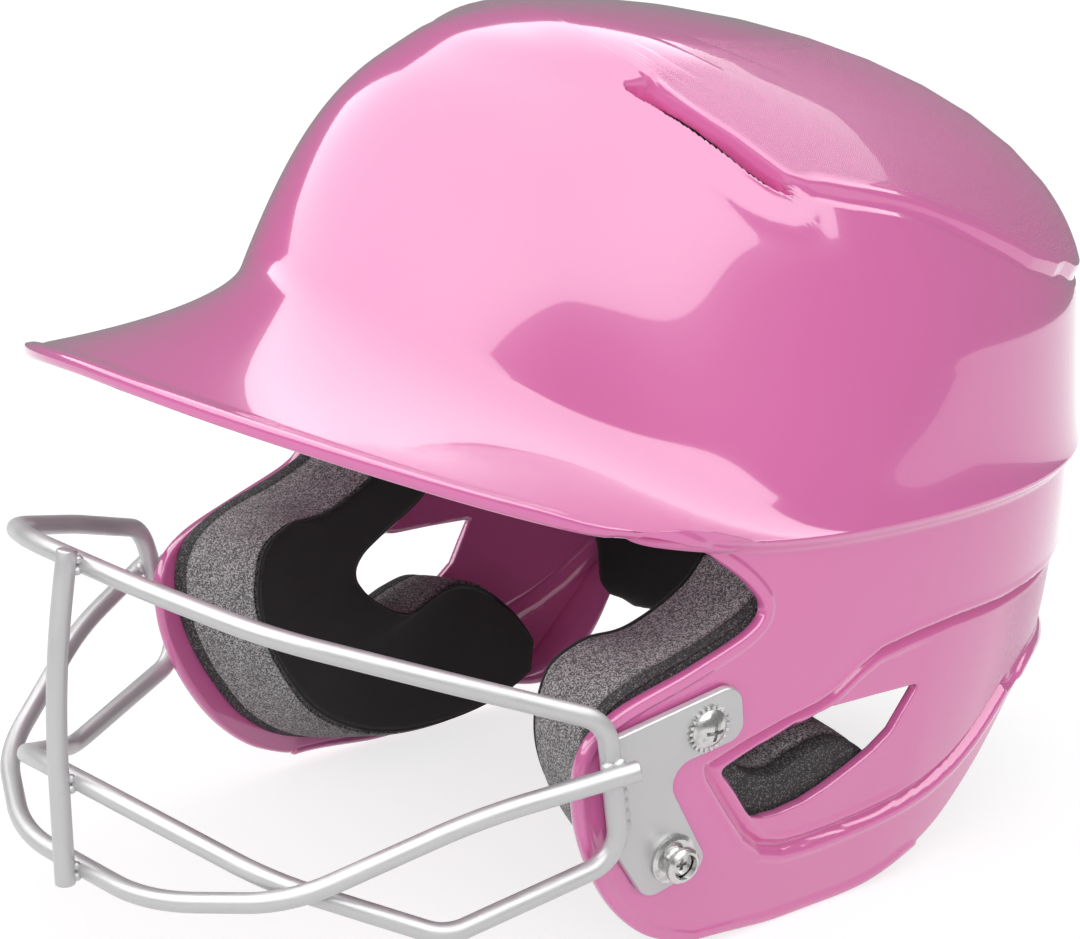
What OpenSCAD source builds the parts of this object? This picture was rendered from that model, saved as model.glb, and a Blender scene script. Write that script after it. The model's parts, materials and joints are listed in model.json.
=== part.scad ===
// Batting helmet with a welded wire face mask, bolted to both jaw flaps.
// Millimetres. +Z is up, the bill points to -Y and the wearer's left is +X.
// Heights are taken from a datum just under the jaw flaps. At the end the helmet is set down on its flaps,
// with the origin under the middle of its length.

/* [Shell] */
// Widest width of the dome
dome_w = 210; // [190:1:230]
// Middle of the dome in plan, behind the origin
mid_y = 35; // [20:1:50]
// Forward reach of the dome ellipse, which the brow cuts short
dome_front = 144; // [110:1:160]
// Reach of the dome behind its middle
dome_back = 139; // [115:1:150]
// Height of the crown
crown_h = 246; // [220:1:270]
// Fullness of the plan curves, 2 is an ellipse
plan_pow = 2.25; // [2:0.05:3]
// How far the crown leads the middle of the dome
crown_lead = 42; // [0:1:60]
// How sharply that lead grows towards the crown
lead_pow = 2.2; // [1:0.1:4]
// Angle down the dome at which the brow turns into the bill
brow_angle = 54; // [45:1:80]
// Wall thickness of the moulded shell
wall = 3.2; // [2.5:0.1:4.5]

/* [Bill and crease] */
// Reach of the bill in front of the middle of the dome
bill_reach = 185; // [150:1:205]
// Height of the bill lip at the front
lip_front_z = 172; // [150:1:190]
// Height of the crease at the back
lip_rear_z = 114; // [95:1:135]
// How fast the lip falls away from the front
lip_fall = 8.6; // [2:0.1:12]
// Width over the lip at the temples
lip_w = 217; // [195:1:235]
// Drop from the brow line to the bill lip
brow_drop = 16; // [10:1:40]
// Drop from the widest dome line to the crease
side_drop = 40; // [20:1:70]
// Overhang of the crease over the side panel, front end
crease_step = 4.5; // [0:0.5:8]

/* [Ear flaps] */
// Half width over the ear flaps
flap_half = 105; // [90:1:115]
// Forward reach of the plan curve of the jaw flaps
flap_plan = 250; // [200:1:320]
// Height of the lowest edge of the ear flap
flap_z = 6; // [0:1:30]
// Height of the edge at the nape
nape_z = 55; // [30:1:80]
// How far the flap bottom is drawn in
flap_draw = 15; // [5:1:30]
// How far the nape is drawn in
nape_draw = 20; // [10:1:60]
// Diameter of the fillets at the corners of the ear hole
ear_corner = 7; // [3:0.5:15]

/* [Raised crown and rear panels] */
// Height of the raised crown panel
panel_rise = 2; // [0:0.1:4]
// Depth of the groove round the crown panel
panel_groove = 1.8; // [0:0.1:4]
// Depth of the sunk panel round the ear hole
ear_sink = 2.2; // [0:0.1:4]
// Width of the crown vent slot
vent_w = 7; // [5:0.5:16]

/* [Face mask] */
// Diameter of the mask wire, 7/32 inch
wire_d = 5.5; // [4:0.1:7]
// Forward reach of the brow wire
mask_reach = 152; // [135:1:170]
// Height of the brow wire
brow_wire_z = 119; // [110:1:128]
// Height of the chin wire at its middle
chin_wire_z = 61; // [52:1:70]
// Height of the lower wire at its middle
low_wire_z = 36.5; // [28:0.5:45]
// Height of the knee in the centre bar
knee_z = 88; // [75:1:100]
// Radius of the bend at that knee
knee_r = 260; // [100:10:400]
// Radius of the bends at the side plates
upright_r = 10; // [8:0.5:13]
// How far a wire runs on past the wire that it is welded to
wire_over = 3.5; // [2:0.5:6]
// Radius of a weld bead
bead_r = 2; // [1.5:0.1:2.2]
// Thickness of the side plates
plate_t = 2.2; // [1.5:0.1:4]
// Corner radius of the side plates
plate_r = 6; // [3:0.5:8]

/* [Mask screws] */
// Thread diameter of the mask screws, number 10
screw_d = 4.8; // [4:0.1:6]
// Head diameter of the upper truss head screw
head_d = 11; // [9:0.5:14]
// Height of the truss head
head_h = 2.6; // [2:0.1:4]
// Outer diameter of the toothed washer
washer_d = 13.4; // [11:0.2:18]
// Thickness of the toothed washer
washer_t = 0.9; // [0.5:0.1:2]
// Number of teeth on the washer
teeth = 22; // [12:1:30]
// Radial clearance of a screw in its threaded nut
thread_gap = 0.06; // [0.02:0.01:0.1]
// Diameter of the flange of the threaded nut
nut_flange_d = 13; // [10:0.5:16]
// Thickness of that flange
nut_flange_t = 1.3; // [0.8:0.1:2]

/* [Chin strap stud] */
// Diameter of the base flange of the snap stud
stud_flange_d = 13.8; // [12:0.2:18]
// Diameter of the snap ring
stud_ring_d = 10.2; // [9.4:0.2:12]
// Diameter of the neck behind the snap ring
stud_neck_d = 8.2; // [7.4:0.2:9]
// Height of the snap stud over the plate
stud_h = 6; // [5:0.2:9]
// Length of the straight wall of the snap ring
stud_wall = 1.2; // [0.6:0.1:1.6]

/* [Padding] */
// Clearance between soft pieces and what they touch
soft_gap = 0.3; // [0.2:0.05:0.6]
// Thickness of the black backing layer of the jaw pad
backing_t = 2.4; // [1:0.2:5]
// Thickness of the speckled foam of the jaw pad
jaw_t = 18; // [8:1:25]
// Thickness of the black cover of the jaw pad
cover_t = 2.2; // [1:0.1:4]
// Thickness of the liner pads
liner_t = 13; // [8:1:20]
// Crown of the jaw foam, thickest in its middle
foam_crown = 2.5; // [0:0.5:5]

/* [Hidden] */
$fn = 40;
// Play between hard pieces that seat on each other
slop = 0.05;
// Straight runs of wire lap into the bends, which are a hair thicker so that the two fuse
lap = 0.3;
bend_swell = 0.03;
// How far a cutter reaches past what it cuts
reach = 12;
// Columns and rows of the shell's surface grid
cols_front = 11;
cols_rear = 24;
rows_crown = 8;
rows_dome = 8;
rows_flare = 6;
// How far the free edge of the shell and of a pad is rounded out
edge_round = 1.3;
pad_round = 1.2;
// Plan angle where the face opening meets the lip
th_open = 47;
// Extra clearance of pads against the flat facets of the shell
facet_gap = 0.5;
pad_black = [0.08, 0.08, 0.08];
foam_grey = [0.4, 0.4, 0.4];
wire_grey = [0.78, 0.79, 0.8];
steel = [0.8, 0.8, 0.82];

// Maths helpers
function lerp(a, b, t) = a + (b - a) * t;
function clamp01(t) = min(1, max(0, t));
function ease(t) = let(u = clamp01(t)) u * u * (3 - 2 * u);
function unit(v) = v / max(norm(v), 1e-9);
function fold(th) = min(th, 360 - th);
function flip_x(p) = [for (i = [len(p) - 1:-1:0]) [-p[i][0], p[i][1], p[i][2]]];
function flip_list(p) = [for (i = [len(p) - 1:-1:0]) p[i]];
// Superellipse radius at a plan angle
function sup(th, a, b, n) = pow(pow(abs(sin(th)) / a, n) + pow(abs(cos(th)) / b, n), -1 / n);
// Smooth curve through a list of values or points, t from 0 to 1
function pick(list, t) = let(
    n = len(list) - 1,
    u = clamp01(t) * n,
    i = min(floor(u), n - 1),
    f = u - i,
    p0 = list[max(i - 1, 0)],
    p1 = list[i],
    p2 = list[i + 1],
    p3 = list[min(i + 2, n)])
    p1 + 0.5 * f * (p2 - p0 + f * (2 * p0 - 5 * p1 + 4 * p2 - p3 + f * (3 * (p1 - p2) + p3 - p0)));

// Plan curves of the shell, th is the plan angle from the front
function polar(th, r, z) = [r * sin(th), mid_y - r * cos(th), z];
function dome_r(th) = sup(th, dome_w / 2, cos(th) > 0 ? dome_front : dome_back, plan_pow);
function lip_r(th) = sup(th, lip_w / 2, cos(th) > 0 ? bill_reach : dome_back + 1, plan_pow);
function flap_r(th) = sup(th, flap_half, cos(th) > 0 ? flap_plan : dome_back - 2, plan_pow);
function front_share(th) = pow((1 + cos(th)) / 2, lip_fall);
function lip_z(th) = lerp(lip_rear_z + 4 * (1 + cos(th)), lip_front_z, front_share(th));
function brow_share(th) = ease(0.9 * (1 + cos(th)) - 0.6);
function brow_z(th) = lip_z(th) + lerp(side_drop, brow_drop, ease(0.8 * (1 + cos(th)) - 0.5));

// Dome: a quarter ellipse from the crown that the brow cuts short at the front, f from 0 to 1
function end_angle(th) = lerp(90, brow_angle, brow_share(th));
function base_z(th) = let(c = cos(end_angle(th))) (brow_z(th) - crown_h * c) / (1 - c);
function dome_rz(th, f) = let(p = end_angle(th) * f)
    [dome_r(th) * sin(p), lerp(base_z(th), crown_h, cos(p))];
function lead(z) = -crown_lead * pow(clamp01((z - 150) / (crown_h - 150)), lead_pow);
function set_pt(th, q) = polar(th, q[0], q[1]) + [0, lead(q[1]), 0];
function dome_pt(th, f) = set_pt(th, dome_rz(th, f));
function dome_n(th, f) = let(
    g = max(f, 0.03),
    n = unit(cross(dome_pt(th + 1, g) - dome_pt(th - 1, g), dome_pt(th, g + 0.02) - dome_pt(th, g - 0.02))))
    n[2] > 0 ? n : -n;
// Flare: a cubic from the foot of the dome to the lip, t from 0 to 1
function flare_pt(th, t) = let(
    p0 = dome_rz(th, 1),
    p3 = [lip_r(th), lip_z(th)],
    d = unit(p0 - dome_rz(th, 0.97)),
    p1 = p0 + d * 0.5 * (p0[1] - p3[1]) / max(0.2, -d[1]),
    p2 = [lerp(p0[0], p3[0], 0.45), lerp(p0[1], p3[1], 0.86)],
    u = 1 - t)
    set_pt(th, u * u * u * p0 + 3 * u * u * t * p1 + 3 * u * t * t * p2 + t * t * t * p3);

// Side panel under the crease
function flap_rz(th, z) = let(
    a = fold(th),
    drop = max(0, lip_rear_z - z) / (lip_rear_z - flap_z),
    draw = lerp(flap_draw, nape_draw, ease((a - 95) / 60)),
    step = crease_step * (1 - ease((a - th_open) / 110)),
    top_r = min(flap_r(th), lip_r(th) - step),
    r = lerp(top_r, flap_r(th), ease((lip_z(th) - z - 10) / 30)) - draw * drop * drop)
    lerp(lip_r(th), r, ease((lip_z(th) - z) / 5));
function side_pt(th, z) = polar(th, flap_rz(th, z), z);
function side_n(th, z) = let(
    n = unit(cross(side_pt(th + 1, z) - side_pt(th - 1, z), side_pt(th, z + 1) - side_pt(th, z - 1))),
    o = polar(th, 1, 0) - [0, mid_y, 0])
    n * o > 0 ? n : -n;
function plan_x(y) = flap_half * pow(1 - pow(min(1, abs(y - mid_y) / flap_plan), plan_pow), 1 / plan_pow);
function draw_x(z) = flap_draw * pow(max(0, lip_rear_z - z) / (lip_rear_z - flap_z), 2);
function th_at(y, z) = atan2(plan_x(y) - draw_x(z), mid_y - y);

// Outlines in side view are lists of [y, height over the flap bottom]
// Edge of the face opening, from the lip down to the flap bottom
opening = [[-52, 124], [-34, 118], [-20, 111.5], [-9, 103], [-7, 95], [-13, 87], [-35, 80], [-58, 74.5],
    [-67, 67], [-67, 54], [-64, 40], [-58, 27], [-50, 16], [-40, 7], [-26, 2]];
// Ear hole, a corner each
ear_hole = [[-17, 47], [19, 58], [50, 58.5], [45, 46], [31, 37], [9, 32], [-9, 31.5]];
// Outer and inner edge of the jaw pad, which bends round the ear from the temple to the rear of the flap
jaw_out = [[-4, 99], [-15, 90], [-36, 82.5], [-57, 77], [-66.5, 68], [-66.5, 53], [-63, 39], [-55, 26],
    [-45, 15], [-28, 6.5], [-5, 3.5], [20, 3.5], [42, 7], [54, 16]];
jaw_in = [[15, 101], [9, 97], [2, 89], [-6, 80], [-13, 71], [-17, 62.5], [-14, 56], [-6, 53.5],
    [4, 53], [14, 52.5], [24, 50], [33, 45], [41, 38.5], [50, 30]];
// Heights over the flap bottom of the step over the ear hole and of the groove under it
step_line = [54, 62, 72, 77, 79, 81, 83];
groove_line = [27, 24, 24, 28, 40, 58];
function edge_z(t) = flap_z + pick(opening, t)[1];
function edge_th(t) = th_at(pick(opening, t)[0], edge_z(t));
function bottom_z(th) = lerp(flap_z, nape_z, ease((fold(th) - 108) / 26));
function step_z(th) = flap_z + pick(step_line, (fold(th) - 58) / 122);
function groove_z(th) = flap_z + pick(groove_line, (fold(th) - 62) / 60);
function sink_amp(th) = ease((fold(th) - 59) / 9);

// Edge of the raised crown panel, as drops below the crown from the vent to the back
crown_line = [5, 28, 41, 59, 77, 80, 80];
function crown_f(th) = let(
    z = crown_h - pick(crown_line, (fold(th) - 60) / 120),
    c = (z - base_z(th)) / (crown_h - base_z(th)))
    lerp(0.36, acos(c) / end_angle(th), ease((fold(th) - 30) / 32));
function crown_amp(th) = ease((fold(th) - 60) / 14);
// Rise of the crown at a share u of the way to its edge: full over the panel, fading over the front
function panel_lift(u, th) = panel_rise * lerp(1 - ease(u), 1, crown_amp(th));

// Ring grid, from the crown down to the lip: crown rows, three groove rows, dome rows, flare rows
groove_steps = [0.022, 0.055, 0.085];
rows_panel = rows_crown + len(groove_steps);
rows_ring = rows_panel + rows_dome + rows_flare;
function ring_pt(i, th) = let(c = crown_f(th), last = groove_steps[2])
    i <= rows_crown ? dome_pt(th, c * i / rows_crown)
    : i <= rows_panel ? dome_pt(th, c + groove_steps[i - rows_crown - 1])
    : i <= rows_panel + rows_dome ? dome_pt(th, lerp(c + last, 1, (i - rows_panel) / rows_dome))
    : flare_pt(th, (i - rows_panel - rows_dome) / rows_flare);
function ring_lift(i, th) = i <= rows_crown ? panel_lift(i / rows_crown, th)
    : i == rows_crown + 1 ? -panel_groove * crown_amp(th)
    : i == rows_crown + 2 ? -panel_groove * 0.6 * crown_amp(th) : 0;

// Side rows, [share along the edge curve, band, share of the band], in three bands:
// above the step, between the step and the groove, and below the groove
side_rows = [[0.03, 0, 0.07], [0.1, 0, 0.25], [0.2, 0, 0.5], [0.31, 0, 0.76], [0.42, 0, 1], [0.46, 1, 0],
    [0.54, 1, 0.3], [0.63, 1, 0.62], [0.72, 1, 1], [0.77, 2, 0], [0.85, 2, 0.34], [0.93, 2, 0.68], [1, 2, 1]];
rows_side = len(side_rows);
// Height over which the step and the groove run out
step_run = 2.6;
function band_z(th, row) = let(
    s = step_z(th),
    g = max(groove_z(th), bottom_z(th) + 5))
    row[1] == 0 ? lerp(lip_z(th), s, row[2])
    : row[1] == 1 ? lerp(s - step_run, g, row[2]) : lerp(g - step_run, bottom_z(th), row[2]);
function side_zt(i, th0) = let(
    row = side_rows[i - 1],
    s = (fold(th0) - th_open) / (180 - th_open),
    a = lerp(edge_th(row[0]), 180, s))
    [th0 > 180 ? 360 - a : a, lerp(edge_z(row[0]), band_z(a, row), ease(s * 7))];
function side_lift(i, th) = side_rows[i - 1][1] == 1
    ? -ear_sink * sink_amp(th)
    : side_rows[i - 1][1] == 2 ? -ear_sink * sink_amp(th) * ease((fold(th) - 104) / 16) : 0;

// Bare surface grids, then their normals, then the lifted outer and inner faces
cols_ring = 2 * (cols_front + cols_rear);
cols_side = 2 * cols_rear + 1;
function col_th(j) = j <= 2 * cols_rear
    ? th_open + (180 - th_open) * j / cols_rear
    : 360 - th_open + th_open * (j - 2 * cols_rear) / cols_front;
ring = [for (i = [1:rows_ring]) [for (j = [0:cols_ring - 1]) ring_pt(i, col_th(j))]];
side_at = [for (i = [1:rows_side]) [for (j = [0:cols_side - 1]) side_zt(i, col_th(j))]];
side = [for (r = side_at) [for (q = r) side_pt(q[0], q[1])]];
function ring_n(i, j) = let(
    a = ring[i][(j + 1) % cols_ring] - ring[i][(j + cols_ring - 1) % cols_ring],
    b = ring[min(i + 1, rows_ring - 1)][j] - ring[max(i - 1, 0)][j])
    unit(cross(b, a));
function side_gn(i, j) = let(
    a = side[i][min(j + 1, cols_side - 1)] - side[i][max(j - 1, 0)],
    b = side[min(i + 1, rows_side - 1)][j] - (i == 0 ? ring[rows_ring - 1][j] : side[i - 1][j]))
    unit(cross(b, a));
function grid_pts(depth) = concat(
    [dome_pt(0, 0) + [0, 0, panel_rise - depth]],
    [for (i = [0:rows_ring - 1]) for (j = [0:cols_ring - 1])
        ring[i][j] + ring_n(i, j) * (ring_lift(i + 1, col_th(j)) - depth)],
    [for (i = [0:rows_side - 1]) for (j = [0:cols_side - 1])
        side[i][j] + side_gn(i, j) * (side_lift(i + 1, side_at[i][j][0]) - depth)]);
outer_pts = grid_pts(0);
inner_pts = grid_pts(wall);
grid_n = len(outer_pts);
function ring_id(i, j) = 1 + i * cols_ring + j % cols_ring;
function side_id(i, j) = i < 0 ? ring_id(rows_ring - 1, j) : 1 + rows_ring * cols_ring + i * cols_side + j;
grid_tris = concat(
    [for (j = [0:cols_ring - 1]) [0, ring_id(0, j), ring_id(0, j + 1)]],
    [for (i = [0:rows_ring - 2]) for (j = [0:cols_ring - 1]) for (k = [0, 1]) k == 0
        ? [ring_id(i, j), ring_id(i + 1, j), ring_id(i + 1, j + 1)]
        : [ring_id(i, j), ring_id(i + 1, j + 1), ring_id(i, j + 1)]],
    [for (i = [-1:rows_side - 2]) for (j = [0:cols_side - 2]) for (k = [0, 1]) k == 0
        ? [side_id(i, j), side_id(i + 1, j), side_id(i + 1, j + 1)]
        : [side_id(i, j), side_id(i + 1, j + 1), side_id(i, j + 1)]]);
// Free edge: along the bill lip, down one flap, round the bottom and up the other flap
rim = concat(
    [for (j = [2 * cols_rear:cols_ring]) ring_id(rows_ring - 1, j)],
    [for (i = [0:rows_side - 1]) side_id(i, 0)],
    [for (j = [1:cols_side - 1]) side_id(rows_side - 1, j)],
    [for (i = [rows_side - 2:-1:0]) side_id(i, cols_side - 1)]);
rim_n = len(rim);
rim_pts = [for (k = [0:rim_n - 1]) let(
    o = outer_pts[rim[k]],
    n = inner_pts[rim[k]],
    d = outer_pts[rim[(k + 1) % rim_n]] - outer_pts[rim[(k + rim_n - 1) % rim_n]])
    (o + n) / 2 + unit(cross(d, o - n)) * edge_round];

// Plate frame: r to the rear, v up, w outward, on the flap between screw and stud
plate_yh = [-33, 51];
screw_rv = [3.5, 18];
stud_rv = [-4.3, -18.2];
plate_z = flap_z + plate_yh[1];
plate_th = th_at(plate_yh[0], plate_z);
plate_n = side_n(plate_th, plate_z);
plate_v = unit([0, 0, 1] - plate_n * plate_n[2]);
plate_x = cross(plate_v, plate_n);
// The plate's back lies this far off the shell at its middle
plate_gap = 0.12;
plate_o = side_pt(plate_th, plate_z) + plate_n * plate_gap;
function at_plate(r, v, w) = plate_o + r * plate_x + v * plate_v + w * plate_n;
// Height of the shell surface over the plate's back plane, negative where it falls away
function shell_w(r, v) = let(
    q = at_plate(r, v, 0),
    s = side_pt(atan2(q[0], mid_y - q[1]), q[2]))
    (s - q) * plate_n;
// Outline of the plate, [r, v, corner radius]
plate_shape = [[-30.5, 20.8, 2.5], [13.6, 29, plate_r], [16.6, 12.4, plate_r * 0.8], [-9.6, 8.1, plate_r],
    [8.9, -23.6, plate_r * 0.7], [-11.5, -29.3, plate_r], [-24, -11, plate_r * 1.4]];

// Frame loop: brow wire, uprights on the plates, chin bends
wire_w = plate_t + wire_d / 2 + slop;
upright_top = at_plate(-32.6, 29.5, wire_w);
upright_low = at_plate(-24, -11.5, wire_w);
function reach_pt(x, back, z) = [x, back - mask_reach, z];
loop_half = [reach_pt(26, 0, brow_wire_z), reach_pt(60, 15, brow_wire_z - 7.5),
    reach_pt(86, 51, brow_wire_z - 20.5), upright_top, upright_low, reach_pt(87, 48, chin_wire_z - 29.5),
    reach_pt(58, 15, chin_wire_z - 15), reach_pt(24, -4.6, chin_wire_z)];
loop_bends = [60, 50, 90, upright_r, upright_r, 14, 70, 68];
// Lower wire: welded over the uprights, its middle under the chin wire
touch = wire_d + slop / 2;
upright_dir = unit(upright_low - upright_top);
lower_turn = reach_pt(93, 55, low_wire_z + 27.5);
cross_share = 0.32;
cross_at = lerp(upright_top, upright_low, cross_share);
function over_pt(p) = cross_at + unit(cross(lower_turn - p, upright_dir)) * touch;
lower_over = over_pt(over_pt(cross_at));
lower_half = [lower_over + unit(lower_over - lower_turn) * (wire_d / 2 + wire_over), lower_turn,
    reach_pt(67, 14, low_wire_z + 7), reach_pt(30, -4.1, low_wire_z)];
lower_bends = [0, 120, 42, 60];
// Centre bar: in front of the brow wire above the knee, in front of the chin and lower wires below it
low_line = unit([0, lower_half[3][1] - loop_half[7][1], low_wire_z - chin_wire_z]);
low_front = [0, low_line[2], -low_line[1]];
bar_chin = [0, loop_half[7][1], chin_wire_z] + low_front * touch;
bar_low = [0, lower_half[3][1], low_wire_z] + low_front * touch;
knee = lerp(bar_chin, bar_low, (knee_z - bar_chin[2]) / (bar_low[2] - bar_chin[2]));
to_brow = [0, loop_half[0][1], brow_wire_z] - knee;
lean = atan2(to_brow[1], to_brow[2]) - asin(touch / norm(to_brow));
bar_top = knee + [0, sin(lean), cos(lean)] * (norm(to_brow) + wire_over);
bar_pts = [bar_top, knee, bar_low + low_line * wire_over];

// The finished helmet stands on its flaps, centred in its length
function bend_at(p, r, i) = let(
    n = len(p),
    a = p[(i + n - 1) % n],
    b = p[i],
    c = p[(i + 1) % n],
    u = unit(b - a),
    v = unit(c - b),
    angle = acos(min(1, u * v)),
    tang = r[i] * tan(angle / 2))
    [b - u * tang, b + v * tang, u, unit(v - (v * u) * u), angle];
knee_bend = bend_at(bar_pts, [0, knee_r, 0], 1);
front_y = knee_bend[0][1] + knee_bend[3][1] * knee_r - knee_r - (wire_d + bend_swell) / 2;
rear_y = max([for (p = outer_pts) p[1]]);
low_z = min([for (p = rim_pts) p[2]]);
module placed() {
    translate([0, -(front_y + rear_y) / 2, -low_z])
        children();
}
module both_sides() {
    children();
    mirror([1, 0, 0])
        children();
}
module on_plate(r, v, w) {
    p = at_plate(r, v, w);
    multmatrix([[plate_x[0], plate_v[0], plate_n[0], p[0]],
        [plate_x[1], plate_v[1], plate_n[1], p[1]],
        [plate_x[2], plate_v[2], plate_n[2], p[2]]])
        children();
}

// Shell
module shell_body() {
    m = 2 * grid_n;
    polyhedron(
        points = concat(outer_pts, inner_pts, rim_pts),
        faces = concat(
            [for (t = grid_tris) [t[0], t[2], t[1]]],
            [for (t = grid_tris) [t[0] + grid_n, t[1] + grid_n, t[2] + grid_n]],
            [for (k = [0:rim_n - 1]) for (c = [0:3]) let(
                a = rim[k], b = rim[(k + 1) % rim_n], p = m + k, q = m + (k + 1) % rim_n)
                c == 0 ? [a, b, q] : c == 1 ? [a, q, p]
                : c == 2 ? [p, q, b + grid_n] : [p, b + grid_n, a + grid_n]]));
}
module ear_cut() {
    hull()
        for (p = ear_hole)
            translate([flap_half - flap_draw - 30, p[0], flap_z + p[1]])
                rotate([0, 90, 0])
                    cylinder(d = ear_corner, h = flap_draw + 45, $fn = 12);
}
// Crown vent: a slanted slot under the front corner of the raised panel, at these plan angles
vent_line = [72.5, 77, 82, 87.5];
module vent_cut() {
    for (k = [0:len(vent_line) - 2])
        hull()
            for (q = [vent_line[k], vent_line[k + 1]]) {
                f = crown_f(q) + groove_steps[0] / 2;
                d = dome_n(q, f);
                translate(dome_pt(q, f) - d * reach)
                    rotate([0, acos(d[2]), atan2(d[1], d[0])])
                        cylinder(d = vent_w, h = 2 * reach, $fn = 12);
            }
}
module screw_hole_cuts() {
    for (q = [screw_rv, stud_rv])
        hull()
            on_plate(q[0], q[1], -reach)
                cylinder(d = screw_d + 2.6, h = 2 * reach, $fn = 24);
}
module shell() {
    placed()
        color([0.92, 0.45, 0.7])
            difference() {
                shell_body();
                both_sides() {
                    ear_cut();
                    vent_cut();
                    screw_hole_cuts();
                }
            }
}

// Closed slab between two grids of the same size, with bulged sides
function slab_id(i, j, nv) = i * nv + j;
function slab_loop(nu, nv) = concat(
    [for (j = [0:nv - 1]) slab_id(0, j, nv)],
    [for (i = [1:nu - 1]) slab_id(i, nv - 1, nv)],
    [for (j = [nv - 2:-1:0]) slab_id(nu - 1, j, nv)],
    [for (i = [nu - 2:-1:1]) slab_id(i, 0, nv)]);
module slab(g0, g1, bulge) {
    nu = len(g0);
    nv = len(g0[0]);
    n = nu * nv;
    p0 = [for (r = g0) each r];
    p1 = [for (r = g1) each r];
    loop = slab_loop(nu, nv);
    m = len(loop);
    mids = [for (k = [0:m - 1]) let(
        d = p0[loop[(k + 1) % m]] - p0[loop[(k + m - 1) % m]])
        (p0[loop[k]] + p1[loop[k]]) / 2 + unit(cross(p0[loop[k]] - p1[loop[k]], d)) * bulge];
    tris = [for (i = [0:nu - 2]) for (j = [0:nv - 2]) for (c = [0, 1]) c == 0
        ? [slab_id(i, j, nv), slab_id(i + 1, j, nv), slab_id(i + 1, j + 1, nv)]
        : [slab_id(i, j, nv), slab_id(i + 1, j + 1, nv), slab_id(i, j + 1, nv)]];
    polyhedron(
        points = concat(p0, p1, mids),
        faces = concat(
            tris,
            [for (t = tris) [t[0] + n, t[2] + n, t[1] + n]],
            [for (k = [0:m - 1]) for (c = [0:3]) let(
                a = loop[k], b = loop[(k + 1) % m], p = 2 * n + k, q = 2 * n + (k + 1) % m)
                c == 0 ? [a, b, q] : c == 1 ? [a, q, p]
                : c == 2 ? [p, q, b + n] : [p, b + n, a + n]]));
}
// A pad is full in its middle and drawn in towards its edges, u and v from 0 to 1
pad_edge = 0.62;
function pillow(u, v) = (1 - pow(abs(2 * u - 1), 4)) * (1 - pow(abs(2 * v - 1), 6));
function liner_depth(u, v) = liner_t * lerp(pad_edge, 1, pillow(u, v));

// Padding under the dome, depth d from the unraised inner face of the shell
function dome_in(th, f, d) = dome_pt(th, f) - dome_n(th, f) * (wall + d);
module dome_pad(th0, th1, f0, f1, d0, nu, nv) {
    function at(i, j, d) = dome_in(lerp(th0, th1, j / nv), lerp(f0, f1, i / nu), d);
    slab(
        [for (i = [0:nu]) [for (j = [0:nv]) at(i, j, d0 + liner_depth(i / nu, j / nv))]],
        [for (i = [0:nu]) [for (j = [0:nv]) at(i, j, d0)]],
        pad_round);
}
// Pad over the crown, a square grid rounded most of the way to a disc that ends at share f1 of the dome
corner_share = 0.35;
module crown_disc(f1, n) {
    function at(i, j, d) = let(
        x = 2 * i / n - 1,
        y = 2 * j / n - 1,
        m = lerp(max(abs(x), abs(y)), norm([x, y]), corner_share),
        th = m < 1e-6 ? 0 : atan2(x, -y),
        a = th < 0 ? th + 360 : th)
        dome_in(a, m * f1, d - panel_lift(m * f1 / crown_f(a), a));
    slab(
        [for (i = [0:n]) [for (j = [0:n]) at(i, j, soft_gap + facet_gap + liner_depth(i / n, j / n))]],
        [for (i = [0:n]) [for (j = [0:n]) at(i, j, soft_gap + facet_gap)]],
        pad_round);
}
groove_gap = panel_groove + soft_gap;
module crown_pad() {
    placed()
        color(pad_black)
            crown_disc(0.3, 10);
}
module brow_pad() {
    placed()
        color(pad_black)
            dome_pad(-38, 38, 0.62, 0.95, soft_gap, 5, 12);
}
module temple_pad_left() {
    placed()
        color(pad_black)
            dome_pad(60, 120, 0.66, 0.97, groove_gap, 5, 10);
}
module temple_pad_right() {
    mirror([1, 0, 0])
        temple_pad_left();
}
module back_pad() {
    placed()
        color(pad_black)
            dome_pad(142, 218, 0.62, 0.97, groove_gap, 5, 12);
}

// Padding on the side panels, depth d from the inner face of the shell
function sink_at(th, z) = ear_sink * sink_amp(th) * ease((step_z(th) + 4 - z) / 4);
function side_in(th, z, d) = side_pt(th, z) - side_n(th, z) * (wall + sink_at(th, z) + d);
module nape_slab(th0, th1, z0, z1, nu, nv) {
    function at(u, v, d) = side_in(lerp(th0, th1, v),
        lerp(z0, z1, 0.5 + (0.5 - u) * (1 - 0.4 * pow(abs(2 * v - 1), 8))), soft_gap + d);
    slab(
        [for (i = [0:nu]) [for (j = [0:nv]) at(i / nu, j / nv, liner_depth(i / nu, j / nv))]],
        [for (i = [0:nu]) [for (j = [0:nv]) at(i / nu, j / nv, 0)]],
        pad_round);
}
module nape_pad() {
    placed()
        color(pad_black)
            nape_slab(128, 232, nape_z - 25, nape_z + 29, 6, 14);
}

// Jaw pad: black backing, speckled foam and black cover, one over the other
backing_d = soft_gap + facet_gap / 2;
foam_d = backing_d + backing_t + soft_gap;
cover_d = foam_d + jaw_t + soft_gap;
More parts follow.
